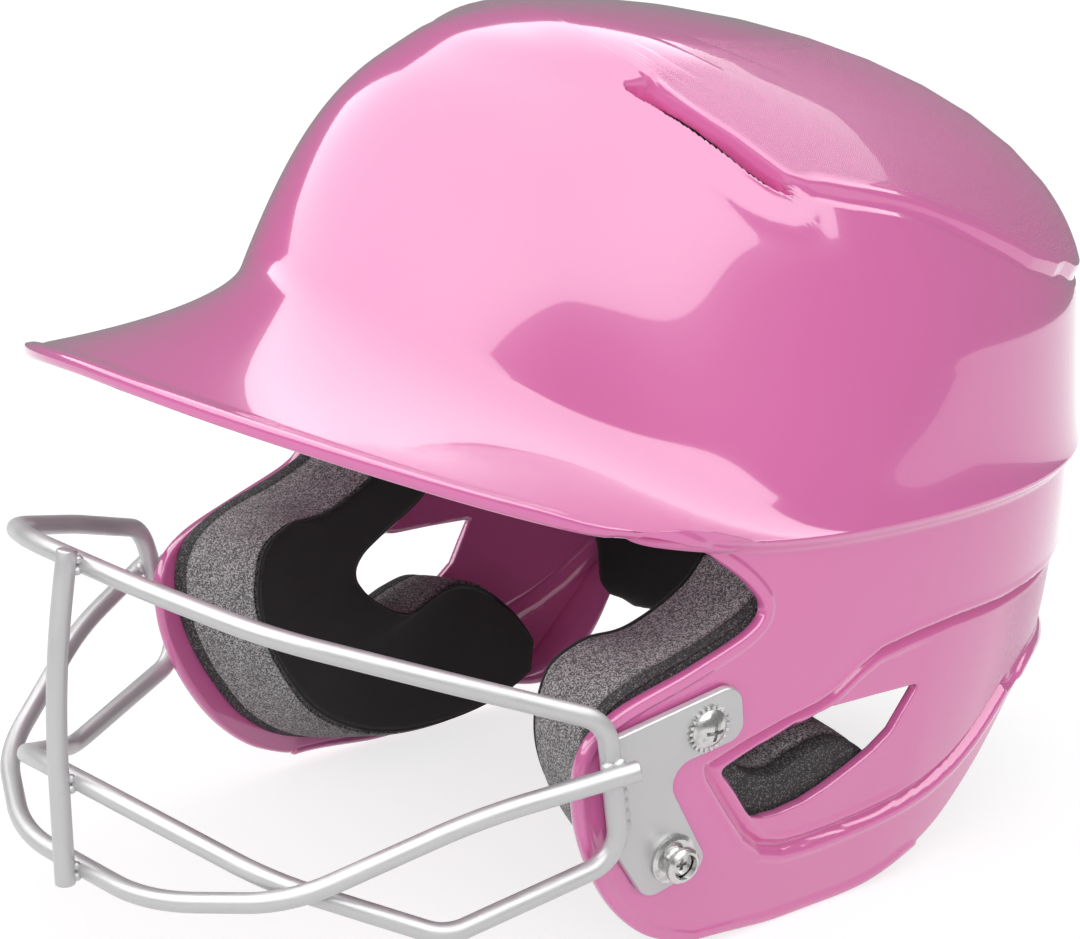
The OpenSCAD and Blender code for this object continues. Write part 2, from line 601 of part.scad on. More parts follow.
// The cover leaves a strip of foam bare along the outer edge
bare_strip = 0.12;
function jaw_pt(u, v, d) = let(q = lerp(pick(jaw_out, v), pick(jaw_in, v), u), z = flap_z + q[1])
    side_in(th_at(q[0], z), z, d);
module jaw_layer(nu, nv, d0, thick, crown, u0, bulge) {
    slab(
        [for (i = [0:nu]) [for (j = [0:nv]) jaw_pt(lerp(u0, 1, i / nu), j / nv, d0)]],
        [for (i = [0:nu]) [for (j = [0:nv])
            jaw_pt(lerp(u0, 1, i / nu), j / nv, d0 + thick + crown * (pillow(i / nu, j / nv) - 1))]],
        bulge);
}
module jaw_backing_left() {
    placed()
        color(pad_black)
            difference() {
                jaw_layer(7, 20, backing_d, backing_t, 0, 0, 0.2);
                for (q = [screw_rv, stud_rv])
                    on_plate(q[0], q[1], tip_w - 4)
                        cylinder(d = nut_flange_d + 2, h = reach);
            }
}
module jaw_backing_right() {
    mirror([1, 0, 0])
        jaw_backing_left();
}
module jaw_foam_left() {
    placed()
        color(foam_grey)
            jaw_layer(7, 20, foam_d, jaw_t, foam_crown, 0, 1.4);
}
module jaw_foam_right() {
    mirror([1, 0, 0])
        jaw_foam_left();
}
module jaw_cover_left() {
    placed()
        color(pad_black)
            jaw_layer(6, 20, cover_d, cover_t, 1, bare_strip, 0.6);
}
module jaw_cover_right() {
    mirror([1, 0, 0])
        jaw_cover_left();
}

// Bent wire: straight runs and true bends, points with a bend radius each
module run(a, b) {
    d = b - a;
    translate(a - unit(d) * lap)
        rotate([0, acos(d[2] / norm(d)), atan2(d[1], d[0])])
            cylinder(d = wire_d, h = norm(d) + 2 * lap);
}
module bend(start, u, toward, radius, angle) {
    o = start + toward * radius;
    z = cross(-toward, u);
    multmatrix([[-toward[0], u[0], z[0], o[0]],
        [-toward[1], u[1], z[1], o[1]],
        [-toward[2], u[2], z[2], o[2]]])
        rotate_extrude(angle = angle, $fn = 96)
            translate([radius, 0])
                circle(d = wire_d + bend_swell);
}
module wire(p, r, closed = false) {
    n = len(p);
    ends = [for (i = [0:n - 1]) !closed && (i == 0 || i == n - 1) ? [p[i], p[i]] : bend_at(p, r, i)];
    for (i = [0:closed ? n - 1 : n - 2])
        run(ends[i][1], ends[(i + 1) % n][0]);
    for (i = [0:n - 1])
        if (len(ends[i]) > 2)
            bend(ends[i][0], ends[i][2], ends[i][3], r[i], ends[i][4]);
}
module frame_loop() {
    placed()
        color(wire_grey)
            wire(concat(loop_half, flip_x(loop_half)), concat(loop_bends, flip_list(loop_bends)), true);
}
module lower_wire() {
    placed()
        color(wire_grey)
            wire(concat(lower_half, flip_x(lower_half)), concat(lower_bends, flip_list(lower_bends)));
}
module centre_bar() {
    placed()
        color(wire_grey)
            wire(bar_pts, [0, knee_r, 0]);
}

// Side plate, a polygon with rounded corners, points [x, y, radius]
function round_poly(p, steps = 6) = [for (i = [0:len(p) - 1]) let(
    b = [p[i][0], p[i][1]],
    a = [p[(i + len(p) - 1) % len(p)][0], p[(i + len(p) - 1) % len(p)][1]],
    c = [p[(i + 1) % len(p)][0], p[(i + 1) % len(p)][1]],
    u = unit(a - b),
    v = unit(c - b),
    half = acos(u * v) / 2,
    m = b + unit(u + v) * p[i][2] / sin(half),
    s = b + u * p[i][2] / tan(half) - m,
    e = b + v * p[i][2] / tan(half) - m)
    for (k = [0:steps]) m + p[i][2] * unit(lerp(s, e, k / steps))];
module plate_left() {
    placed()
        color([0.75, 0.76, 0.78])
            on_plate(0, 0, 0)
                difference() {
                    linear_extrude(plate_t)
                        polygon(round_poly(plate_shape));
                    for (q = [screw_rv, stud_rv])
                        translate([q[0], q[1], -1])
                            cylinder(d = screw_d + 0.8, h = plate_t + 2);
                }
}
module plate_right() {
    mirror([1, 0, 0])
        plate_left();
}

// Weld beads in the corners between wires, and between the uprights and the plates
// A bead in the corner between an upright and its plate, turned so that neither cuts its poles
module plate_bead(r, v) {
    on_plate(r + wire_d / 2 + 0.2 * bead_r, v, plate_t + 0.6 * bead_r)
        rotate([90, -30, 0])
            sphere(r = bead_r, $fn = 24);
}
// Four beads round the contact point c of two wires that run along u and v, one in each corner.
// Each is turned so that the wires cut it clear of its poles.
bead_off = 2.3;
module corner_beads(c, u, v) {
    n = cross(u, v);
    for (s = [-1, 1])
        for (t = [-1, 1]) {
            p = c + bead_off * (s * u + t * v);
            x = unit(s * u + t * v);
            z = unit(wire_d / 2 * (s * v - t * u) - bead_off * s * t * n);
            y = cross(z, x);
            multmatrix([[x[0], y[0], z[0], p[0]], [x[1], y[1], z[1], p[1]], [x[2], y[2], z[2], p[2]]])
                sphere(r = bead_r, $fn = 24);
        }
}
// Room for a straight run of wire, a hair wider than the wire
module clear_run(a, b) {
    d = b - a;
    translate(a)
        rotate([0, acos(d[2] / norm(d)), atan2(d[1], d[0])])
            cylinder(d = wire_d + 2 * slop, h = norm(d));
}
module clear_plate() {
    on_plate(0, 0, plate_t + slop - reach)
        translate([-60, -60, 0])
            cube([120, 120, reach]);
}
// Beads along the upright, as shares of its height
upright_beads = [0.48, 0.64, 0.8];
function along_upright(t) = lerp([-32.6, 29.5], [-24, -11.5], t);
over_dir = unit(lower_over - lower_turn);
// Joints of the centre bar: contact point, direction of the bar, middle of the wire behind it
top_dir = unit(bar_top - knee);
function joint_at(wire_at, d) = [wire_at + cross([1, 0, 0], d) * touch / 2, d, wire_at];
bar_joints = [joint_at([0, loop_half[0][1], brow_wire_z], top_dir),
    joint_at([0, loop_half[7][1], chin_wire_z], -low_line), joint_at([0, lower_half[3][1], low_wire_z], -low_line)];
module weld_beads() {
    placed()
        color([0.76, 0.77, 0.78]) {
            both_sides() {
                difference() {
                    for (t = upright_beads)
                        plate_bead(along_upright(t)[0], along_upright(t)[1]);
                    clear_plate();
                    clear_run(upright_top, upright_low);
                }
                difference() {
                    corner_beads(lerp(cross_at, lower_over, 0.5), upright_dir, over_dir);
                    clear_run(upright_top, upright_low);
                    clear_run(lower_half[0], lower_half[1]);
                }
            }
            difference() {
                for (q = bar_joints)
                    corner_beads(q[0], [1, 0, 0], q[1]);
                for (q = bar_joints)
                    clear_run(q[2] - [30, 0, 0], q[2] + [30, 0, 0]);
                clear_run(bar_pts[0], bar_pts[1]);
                clear_run(bar_pts[1], bar_pts[2]);
            }
        }
}

// Fasteners, each drawn along +Z with its seat at z = 0
module cross_slot(r, depth) {
    for (a = [0, 90])
        rotate([0, 0, a])
            translate([-r, -0.55, -depth])
                cube([2 * r, 1.1, depth + 5]);
}
seat_w = plate_t + washer_t + 2 * slop;
stud_base = 2.2;
stud_seat = plate_t + stud_base + 2 * slop;
// The nut flange lies against the inner face of the shell, and both screws end just past it
nut_w = min(shell_w(screw_rv[0], screw_rv[1]), shell_w(stud_rv[0], stud_rv[1])) - wall - 0.6;
tip_w = nut_w - nut_flange_t - 1.1;
head_r = (head_h * head_h + head_d * head_d / 4) / (2 * head_h);
module truss_screw() {
    difference() {
        union() {
            intersection() {
                translate([0, 0, head_h - head_r])
                    sphere(r = head_r, $fn = 60);
                cylinder(d = head_d + 2, h = head_h + 1);
            }
            translate([0, 0, tip_w - seat_w])
                cylinder(d = screw_d, h = seat_w - tip_w + 0.5);
        }
        translate([0, 0, head_h])
            cross_slot(head_d / 4, 1.5);
    }
}
module toothed_washer() {
    difference() {
        linear_extrude(washer_t)
            polygon([for (k = [0:teeth - 1]) for (q = [[0, 1], [0.3, 1], [0.5, 0], [0.8, 0]])
                let(a = (k + q[0]) * 360 / teeth, r = washer_d / 2 - 1.1 * (1 - q[1]))
                    [r * cos(a), r * sin(a)]]);
        translate([0, 0, -1])
            cylinder(d = screw_d + 0.4, h = washer_t + 2);
    }
}
// Snap stud: base flange, neck and snap ring round a cup that holds the screw head
stud_cup_d = 7.2;
module snap_stud() {
    ring_z = stud_h - 0.8 - stud_wall;
    rotate_extrude()
        difference() {
            polygon([[0, 0], [stud_flange_d / 2, 0], [stud_flange_d / 2, 0.9], [stud_neck_d / 2 + 1.8, 1.5],
                [stud_neck_d / 2, 1.8], [stud_neck_d / 2, ring_z - 0.9], [stud_ring_d / 2, ring_z],
                [stud_ring_d / 2, ring_z + stud_wall], [stud_ring_d / 2 - 0.8, stud_h], [0, stud_h]]);
            translate([-1, stud_base])
                square([1 + stud_cup_d / 2, stud_h]);
            translate([-1, -1])
                square([1 + screw_d / 2 + 0.2, stud_h]);
        }
}
module stud_screw() {
    pan_h = 1.9;
    difference() {
        union() {
            cylinder(d = stud_cup_d - 0.8, h = pan_h);
            translate([0, 0, tip_w - stud_seat])
                cylinder(d = screw_d, h = stud_seat - tip_w + 0.5);
        }
        translate([0, 0, pan_h])
            cross_slot(1.7, 1.1);
    }
}
module tee_nut() {
    difference() {
        union() {
            translate([0, 0, nut_w - nut_flange_t])
                cylinder(d = nut_flange_d, h = nut_flange_t);
            translate([0, 0, nut_w - nut_flange_t])
                cylinder(d = screw_d + 2, h = nut_flange_t - nut_w - 3 * slop);
        }
        translate([0, 0, nut_w - 3])
            cylinder(d = screw_d + 2 * thread_gap, h = reach);
    }
}
module truss_screws() {
    placed()
        color(steel)
            both_sides()
                on_plate(screw_rv[0], screw_rv[1], seat_w)
                    truss_screw();
}
module toothed_washers() {
    placed()
        color([0.7, 0.7, 0.72])
            both_sides()
                on_plate(screw_rv[0], screw_rv[1], plate_t + slop)
                    toothed_washer();
}
module snap_studs() {
    placed()
        color(steel)
            both_sides()
                on_plate(stud_rv[0], stud_rv[1], plate_t + slop)
                    snap_stud();
}
module stud_screws() {
    placed()
        color(steel)
            both_sides()
                on_plate(stud_rv[0], stud_rv[1], stud_seat)
                    stud_screw();
}
module tee_nuts() {
    placed()
        color([0.6, 0.6, 0.62])
            both_sides()
                for (q = [screw_rv, stud_rv])
                    on_plate(q[0], q[1], 0)
                        tee_nut();
}

shell();
crown_pad();
brow_pad();
temple_pad_left();
temple_pad_right();
back_pad();
nape_pad();
jaw_backing_left();
jaw_backing_right();
jaw_foam_left();
jaw_foam_right();
jaw_cover_left();
jaw_cover_right();
frame_loop();
lower_wire();
centre_bar();
plate_left();
plate_right();
weld_beads();
truss_screws();
toothed_washers();
snap_studs();
stud_screws();
tee_nuts();
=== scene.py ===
"""Batting helmet with a welded wire face mask: its looks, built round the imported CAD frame."""
from __future__ import annotations

import json
import logging
import math
from dataclasses import dataclass
from enum import Enum
from itertools import product
from typing import Optional, Sequence, Union

import bpy
import numpy as np
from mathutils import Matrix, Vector
from mathutils.kdtree import KDTree

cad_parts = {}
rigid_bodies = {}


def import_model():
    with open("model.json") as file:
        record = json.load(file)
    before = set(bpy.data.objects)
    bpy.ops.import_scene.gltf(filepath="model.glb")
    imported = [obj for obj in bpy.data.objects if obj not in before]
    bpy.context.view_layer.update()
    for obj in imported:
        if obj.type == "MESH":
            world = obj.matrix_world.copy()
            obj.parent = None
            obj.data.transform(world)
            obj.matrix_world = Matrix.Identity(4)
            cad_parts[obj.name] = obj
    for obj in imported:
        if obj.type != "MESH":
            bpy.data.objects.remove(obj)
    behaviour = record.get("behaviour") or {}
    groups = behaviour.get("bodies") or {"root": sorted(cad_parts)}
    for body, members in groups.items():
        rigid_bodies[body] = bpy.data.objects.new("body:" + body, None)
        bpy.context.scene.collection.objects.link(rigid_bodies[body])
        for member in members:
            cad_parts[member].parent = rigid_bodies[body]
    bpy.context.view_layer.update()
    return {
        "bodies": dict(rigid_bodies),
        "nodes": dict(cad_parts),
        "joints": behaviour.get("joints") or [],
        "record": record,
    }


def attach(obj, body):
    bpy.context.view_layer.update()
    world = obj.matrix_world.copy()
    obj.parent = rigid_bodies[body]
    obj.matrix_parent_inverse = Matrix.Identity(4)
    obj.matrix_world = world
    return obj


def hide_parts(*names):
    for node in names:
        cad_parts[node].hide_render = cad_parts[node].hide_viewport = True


log = logging.getLogger("helmet")

MM = 0.001
BODY = "root"
# The source's placing of the finished helmet on its flaps, in millimetres
PLACED = np.array([0.0, -4.995, -5.131])
Array = np.ndarray


class Side(Enum):
    """Which side of the wearer a piece belongs to."""

    LEFT = 1.0
    RIGHT = -1.0

    @property
    def word(self) -> str:
        """Side as it stands in piece and node names."""
        return self.name.lower()


class Slot(Enum):
    """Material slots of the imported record."""

    GLOSS = "shell_gloss"
    BLACK = "pad_black"
    FOAM = "speckled_foam"
    MASK = "mask_paint"
    STEEL = "plated_steel"


# Maths

def lerp(a: Array, b: Array, t: Array) -> Array:
    """Straight blend from a to b."""
    return a + (b - a) * t


def ease(t: Array) -> Array:
    """Smooth step from 0 to 1 over t from 0 to 1."""
    u = np.clip(t, 0.0, 1.0)
    return u * u * (3.0 - 2.0 * u)


def ramp(x: Array, start: float, span: float) -> Array:
    """Smooth step from 0 at a start to 1 a span further on."""
    return ease((x - start) / span)


def fold(th: Array) -> Array:
    """Plan angle folded onto one side, from 0 at the front to 180 at the back."""
    return np.minimum(th, 360.0 - th)


def one_side(p: Array) -> Array:
    """Points folded onto the left side of the helmet."""
    return np.abs(p) * [1, 0, 0] + p * [0, 1, 1]


def unit(v: Array) -> Array:
    """Vectors along the last axis, scaled to length 1."""
    return v / np.maximum(np.linalg.norm(v, axis=-1, keepdims=True), 1e-12)


def sin_deg(a: Array) -> Array:
    """Sine of an angle in degrees."""
    return np.sin(np.radians(a))


def cos_deg(a: Array) -> Array:
    """Cosine of an angle in degrees."""
    return np.cos(np.radians(a))


def pick(values: Sequence, t: Array) -> Array:
    """Smooth curve through a list of values or points.

    Args:
        values: the values, or points, at even steps.
        t: place along the list, from 0 to 1.

    Returns:
        The value, or point, at each t.
    """
    p = np.asarray(values, float)
    n = len(p) - 1
    u = np.clip(np.asarray(t, float), 0, 1) * n
    i = np.minimum(np.floor(u).astype(int), n - 1)
    f = u - i
    if p.ndim > 1:
        f = f[..., None]
    p0, p1, p2, p3 = p[np.maximum(i - 1, 0)], p[i], p[i + 1], p[np.minimum(i + 2, n)]
    return p1 + 0.5 * f * (p2 - p0 + f * (2 * p0 - 5 * p1 + 4 * p2 - p3 + f * (3 * (p1 - p2) + p3 - p0)))


def sup(th: Array, a: Array, b: Array, n: float) -> Array:
    """Radius of a superellipse with half widths a and b at a plan angle."""
    return (np.abs(sin_deg(th) / a) ** n + np.abs(cos_deg(th) / b) ** n) ** (-1.0 / n)


def stations(marks: Sequence[tuple[float, float]]) -> Array:
    """Steps along a line that are fine where the marks say so.

    Args:
        marks: pairs of a place and the step size that holds from there to the next place.

    Returns:
        The places, from the first mark to the last.
    """
    out = [marks[0][0]]
    for (a, step), (b, _) in zip(marks[:-1], marks[1:]):
        count = max(1, int(round((b - a) / step)))
        out += [a + (b - a) * (k + 1) / count for k in range(count)]
    return np.array(out)


def bump_at(x: Array, middle: float, width: float) -> Array:
    """Bell-shaped bump of height 1."""
    return np.exp(-((x - middle) / width) ** 2)


def to_line(p: Array, line: Array) -> Array:
    """Distance of each point from an open line of straight pieces.

    Args:
        p: points, one to a row.
        line: the line's points.

    Returns:
        The distances.
    """
    near = np.full(len(p), 1e9)
    for a, b in zip(line[:-1], line[1:]):
        e = b - a
        t = np.clip(((p - a) @ e) / max(e @ e, 1e-9), 0, 1)
        near = np.minimum(near, np.linalg.norm(p - a - t[:, None] * e, axis=1))
    return near


def within(p: Array, outline: Array) -> Array:
    """Whether each point of a plane lies inside a closed outline.

    Args:
        p: points, one to a row.
        outline: the outline's corners.

    Returns:
        True for each point inside.
    """
    inside = np.zeros(len(p), bool)
    for a, b in zip(outline, np.roll(outline, -1, 0)):
        spans = (a[1] > p[:, 1]) != (b[1] > p[:, 1])
        rise = b[1] - a[1] if b[1] != a[1] else 1e-9
        inside ^= spans & (p[:, 0] < a[0] + (p[:, 1] - a[1]) * (b[0] - a[0]) / rise)
    return inside


# Shape of the moulded shell

@dataclass(frozen=True)
class ShellForm:
    """Surface of the moulded shell in millimetres, by the same sizes and rules as the CAD source."""

    dome_w: float = 210.0
    mid_y: float = 35.0
    dome_front: float = 144.0
    dome_back: float = 139.0
    crown_h: float = 246.0
    plan_pow: float = 2.25
    crown_lead: float = 42.0
    lead_from: float = 150.0
    lead_pow: float = 2.2
    brow_angle: float = 54.0
    wall: float = 3.2
    bill_reach: float = 185.0
    lip_front_z: float = 172.0
    lip_rear_z: float = 114.0
    lip_fall: float = 8.6
    lip_w: float = 217.0
    brow_drop: float = 16.0
    side_drop: float = 40.0
    crease_step: float = 4.5
    flap_half: float = 105.0
    flap_plan: float = 250.0
    flap_z: float = 6.0
    flap_draw: float = 15.0
    nape_draw: float = 20.0
    panel_rise: float = 2.0
    ear_sink: float = 2.2
    th_open: float = 47.0
    opening: tuple = ((-52, 124.5), (-38, 120), (-25, 112), (-15, 104), (-10, 96.5), (-15, 90.5), (-34, 84),
                      (-56, 77), (-66, 68.5), (-67, 55.5), (-63.5, 42), (-56.5, 28.5), (-48, 17.5),
                      (-37, 8.5), (-23, 2.5))
    ear_hole: tuple = ((-20.5, 51.5), (-19, 53.5), (-8.5, 57.6), (5, 61), (18, 61.7), (34.8, 61.2),
                       (51.5, 60.4), (52.8, 59.2), (48.9, 53.6), (44.5, 47.1), (38, 42.8), (30.1, 39.2),
                       (21, 35.6), (13.1, 33.3), (4, 32.3), (-2.4, 32.8), (-6.5, 34.2), (-9.5, 36.8),
                       (-14, 43), (-19.8, 49.6))
    step_line: tuple = (54, 62, 72, 77, 79, 81, 83)
    low_line: tuple = (0, 1.2, 5, 11.5, 25, 42, 49)
    crown_line: tuple = (5, 28, 41, 59, 77, 80, 80)

    def polar(self, th: Array, r: Array, z: Array) -> Array:
        """Point at plan angle th, radius r and height z."""
        return np.stack([r * sin_deg(th), self.mid_y - r * cos_deg(th), z + 0 * th], -1)

    def plan_r(self, th: Array, half: float, front: float, back: float) -> Array:
        """Plan radius of an oval with its own reach to the front and to the back."""
        return sup(th, half, np.where(cos_deg(th) > 0, front, back), self.plan_pow)

    def dome_r(self, th: Array) -> Array:
        """Plan radius at the widest line of the dome."""
        return self.plan_r(th, self.dome_w / 2, self.dome_front, self.dome_back)

    def lip_r(self, th: Array) -> Array:
        """Plan radius of the bill lip and of the crease behind it."""
        return self.plan_r(th, self.lip_w / 2, self.bill_reach, self.dome_back + 1)

    def flap_r(self, th: Array) -> Array:
        """Plan radius of the side panels."""
        return self.plan_r(th, self.flap_half, self.flap_plan, self.dome_back - 2)

    def lip_z(self, th: Array) -> Array:
        """Height of the lip and crease."""
        share = ((1 + cos_deg(th)) / 2) ** self.lip_fall
        return lerp(self.lip_rear_z + 4 * (1 + cos_deg(th)), self.lip_front_z, share)

    def brow_z(self, th: Array) -> Array:
        """Height of the foot of the dome."""
        return self.lip_z(th) + lerp(self.side_drop, self.brow_drop, ease(0.8 * (1 + cos_deg(th)) - 0.5))

    def end_angle(self, th: Array) -> Array:
        """Angle down the dome at which its foot lies."""
        return lerp(90.0, self.brow_angle, ease(0.9 * (1 + cos_deg(th)) - 0.6))

    def base_z(self, th: Array) -> Array:
        """Height of the middle of the dome's quarter ellipse."""
        c = cos_deg(self.end_angle(th))
        return (self.brow_z(th) - self.crown_h * c) / (1 - c)

    def dome_rz(self, th: Array, f: Array) -> tuple[Array, Array]:
        """Radius and height of the dome, f from 0 at the crown to 1 at its foot."""
        p = self.end_angle(th) * f
        return self.dome_r(th) * sin_deg(p), lerp(self.base_z(th), self.crown_h, cos_deg(p))

    def set_pt(self, th: Array, r: Array, z: Array) -> Array:
        """Point of the dome, led forward towards the crown."""
        p = self.polar(th, r, z)
        rise = (z - self.lead_from) / (self.crown_h - self.lead_from)
        p[..., 1] -= self.crown_lead * np.clip(rise, 0, 1) ** self.lead_pow
        return p

    def dome_pt(self, th: Array, f: Array) -> Array:
        """Point of the bare dome."""
        return self.set_pt(th, *self.dome_rz(th, f))

    def flare_pt(self, th: Array, t: Array) -> Array:
        """Point of the flare from the foot of the dome to the lip, t from 0 to 1.

        Args:
            th: plan angle.
            t: share of the way to the lip.

        Returns:
            The point.
        """
        r0, z0 = self.dome_rz(th, 1.0 + 0 * th)
        r9, z9 = self.dome_rz(th, 0.97 + 0 * th)
        r3, z3 = self.lip_r(th), self.lip_z(th)
        length = np.hypot(r0 - r9, z0 - z9)
        dr, dz = (r0 - r9) / length, (z0 - z9) / length
        k = 0.5 * (z0 - z3) / np.maximum(0.2, -dz)
        r1, z1 = r0 + dr * k, z0 + dz * k
        r2, z2 = lerp(r0, r3, 0.45), lerp(z0, z3, 0.86)
        u = 1 - t
        w = (u ** 3, 3 * u * u * t, 3 * u * t * t, t ** 3)
        return self.set_pt(th, w[0] * r0 + w[1] * r1 + w[2] * r2 + w[3] * r3,
                           w[0] * z0 + w[1] * z1 + w[2] * z2 + w[3] * z3)

    def drop_share(self, z: Array) -> Array:
        """Share of the way down the flap, from its top at the rear lip."""
        return np.maximum(0, self.lip_rear_z - z) / (self.lip_rear_z - self.flap_z)

    def flap_rz(self, th: Array, z: Array) -> Array:
        """Plan radius of the side panel at a height.

        Args:
            th: plan angle.
            z: height.

        Returns:
            The radius.
        """
        a = fold(th)
        drop = self.drop_share(z)
        draw = lerp(self.flap_draw, self.nape_draw, ramp(a, 95, 60))
        step = self.crease_step * (1 - ramp(a, self.th_open, 110)) * ease((a - self.th_open - 2) / 9)
        top = np.minimum(self.flap_r(th), self.lip_r(th) - step)
        r = lerp(top, self.flap_r(th), ease((self.lip_z(th) - z - 10) / 30)) - draw * drop * drop
        return lerp(self.lip_r(th), r, ease((self.lip_z(th) - z) / 5))

    def side_pt(self, th: Array, z: Array) -> Array:
        """Point of the side panel under the crease."""
        return self.polar(th, self.flap_rz(th, z), z)

    def side_n(self, th: Array, z: Array) -> Array:
        """Outward normal of the side panel."""
        n = unit(np.cross(self.side_pt(th + 1, z) - self.side_pt(th - 1, z),
                          self.side_pt(th, z + 1) - self.side_pt(th, z - 1)))
        out = self.polar(th, 1.0 + 0 * th, 0 * th) - np.array([0, self.mid_y, 0])
        return np.where(np.sum(n * out, -1, keepdims=True) > 0, n, -n)

    def th_at(self, y: Array, z: Array) -> Array:
        """Plan angle at which the side panel passes a length and a height."""
        x = self.flap_half * (1 - np.minimum(1, np.abs(y - self.mid_y) / self.flap_plan) ** self.plan_pow) \
            ** (1 / self.plan_pow)
        return np.degrees(np.arctan2(x - self.flap_draw * self.drop_share(z) ** 2, self.mid_y - y))

    def edge_z(self, t: Array) -> Array:
        """Height of the edge of the face opening, t from the lip to the flap bottom."""
        return self.flap_z + pick(self.opening, t)[..., 1]

    def edge_th(self, t: Array) -> Array:
        """Plan angle of the edge of the face opening."""
        return self.th_at(pick(self.opening, t)[..., 0], self.edge_z(t))

    def bottom_z(self, th: Array) -> Array:
        """Height of the lower edge behind the jaw flap."""
        return self.flap_z + pick(self.low_line, (fold(th) - 88) / 48)

    def step_z(self, th: Array) -> Array:
        """Height of the step over the ear hole."""
        return self.flap_z + pick(self.step_line, (fold(th) - 58) / 122)

    def crown_f(self, th: Array) -> Array:
        """Share of the dome at which the raised crown panel ends."""
        z = self.crown_h - pick(self.crown_line, (fold(th) - 60) / 120)
        c = (z - self.base_z(th)) / (self.crown_h - self.base_z(th))
        share = np.degrees(np.arccos(np.clip(c, -1, 1))) / self.end_angle(th)
        return lerp(0.36, share, ramp(fold(th), 30, 32))

    def side_in(self, th: Array, z: Array, d: Array) -> Array:
        """Point at depth d inside the inner face of the side panel."""
        sink = self.ear_sink * ramp(fold(th), 59, 9) * ease((self.step_z(th) + 4 - z) / 4)
        return self.side_pt(th, z) - self.side_n(th, z) * (self.wall + sink + d)[..., None]


FORM = ShellForm()


# Frame of the side plates

@dataclass(frozen=True)
class PlateFrame:
    """Axes of the left side plate: r to the rear, v up, w outward, in millimetres."""

    plate_y: float = -33.0
    plate_h: float = 51.0
    gap: float = 0.12
    thick: float = 2.2
    screw: tuple[float, float] = (3.5, 18.0)
    stud: tuple[float, float] = (-4.3, -18.2)

    def axes(self) -> tuple[Array, Array, Array, Array]:
        """Origin and the three axes.

        Returns:
            The origin, then the directions of r, v and w.
        """
        z = FORM.flap_z + self.plate_h
        th = np.array(FORM.th_at(np.array(self.plate_y), np.array(z)))
        n = FORM.side_n(th, np.array(z))
        v = unit(np.array([0, 0, 1.0]) - n * n[2])
        return FORM.side_pt(th, np.array(z)) + n * self.gap, np.cross(v, n), v, n

    def at(self, r: float, v: float, w: float) -> Array:
        """Point of the plate frame in the design frame."""
        o, x, y, n = self.axes()
        return o + r * x + v * y + w * n


PLATE = PlateFrame()


# Meshes

@dataclass
class MeshData:
    """Vertices in millimetres of the design frame, and faces."""

    points: Array
    faces: list[tuple[int, ...]]

    def mirrored(self) -> "MeshData":
        """The same mesh on the other side of the helmet."""
        return MeshData(self.points * np.array([-1, 1, 1]), [tuple(reversed(f)) for f in self.faces])

    def on(self, side: Side) -> "MeshData":
        """The mesh, drawn for the left, on its own side."""
        return self if side is Side.LEFT else self.mirrored()

    def to_object(self, name: str, material: bpy.types.Material, smooth_angle: Optional[float] = None
                  ) -> bpy.types.Object:
        """Makes a Blender object in the row frame.

        Args:
            name: the piece's name.
            material: its finish.
            smooth_angle: edges sharper than this many degrees stay sharp, or None to smooth all.

        Returns:
            The new object, linked into the scene.
        """
        mesh = bpy.data.meshes.new(name)
        mesh.from_pydata(((self.points + PLACED) * MM).tolist(), [], self.faces)
        mesh.validate()
        mesh.materials.append(material)
        mesh.polygons.foreach_set("use_smooth", [True] * len(mesh.polygons))
        if smooth_angle is not None:
            mesh.set_sharp_from_angle(angle=math.radians(smooth_angle))
        mesh.update()
        return put(name, mesh)


def put(name: str, data: bpy.types.ID) -> bpy.types.Object:
    """Links a new object that holds this data into the scene."""
    made = bpy.data.objects.new(name, data)
    bpy.context.scene.collection.objects.link(made)
    return made


def dress(piece: bpy.types.Object, slot: Slot, *nodes: str) -> bpy.types.Object:
    """Lets a piece ride on the body and stand for its CAD nodes.

    Args:
        piece: the finished piece.
        slot: not used.
        nodes: CAD nodes that it stands for.

    Returns:
        The piece.
    """
    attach(piece, BODY)
    if nodes:
        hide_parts(*nodes)
    log.info("piece %s: %d faces", piece.name, len(piece.data.polygons))
    return piece


def apply_modifiers(piece: bpy.types.Object) -> bpy.types.Object:
    """Bakes a piece's modifiers into its mesh.

    Args:
        piece: the piece.

    Returns:
        The same piece.
    """
    depsgraph = bpy.context.evaluated_depsgraph_get()
    mesh = bpy.data.meshes.new_from_object(piece.evaluated_get(depsgraph), depsgraph=depsgraph)
    mesh.name = piece.name
    piece.modifiers.clear()
    piece.data = mesh
    return piece


def joined(parts: Sequence[MeshData]) -> MeshData:
    """Several meshes in one."""
    starts = np.cumsum([0] + [len(part.points) for part in parts[:-1]]).tolist()
    return MeshData(np.vstack([part.points for part in parts]),
                    [tuple(i + start for i in f) for start, part in zip(starts, parts) for f in part.faces])


def grid_faces(ids: Array) -> list[tuple[int, ...]]:
    """Quads of a grid of vertices, rows by columns."""
    corners = (ids[:-1, :-1], ids[1:, :-1], ids[1:, 1:], ids[:-1, 1:])
    return list(zip(*[c.ravel().tolist() for c in corners]))


def ring_faces(rings: Sequence[Array], flip: bool = False) -> list[tuple[int, ...]]:
    """Quads between closed rings of vertices.

    Args:
        rings: numbers of the vertices, ring by ring, each as long as the next.
        flip: whether the faces look the other way.

    Returns:
        The quads.
    """
    out = []
    for a, b in zip(rings[:-1], rings[1:]):
        a2, b2 = np.roll(a, -1), np.roll(b, -1)
        out += zip(*[c.tolist() for c in ((a, a2, b2, b) if flip else (a2, a, b, b2))])
    return out


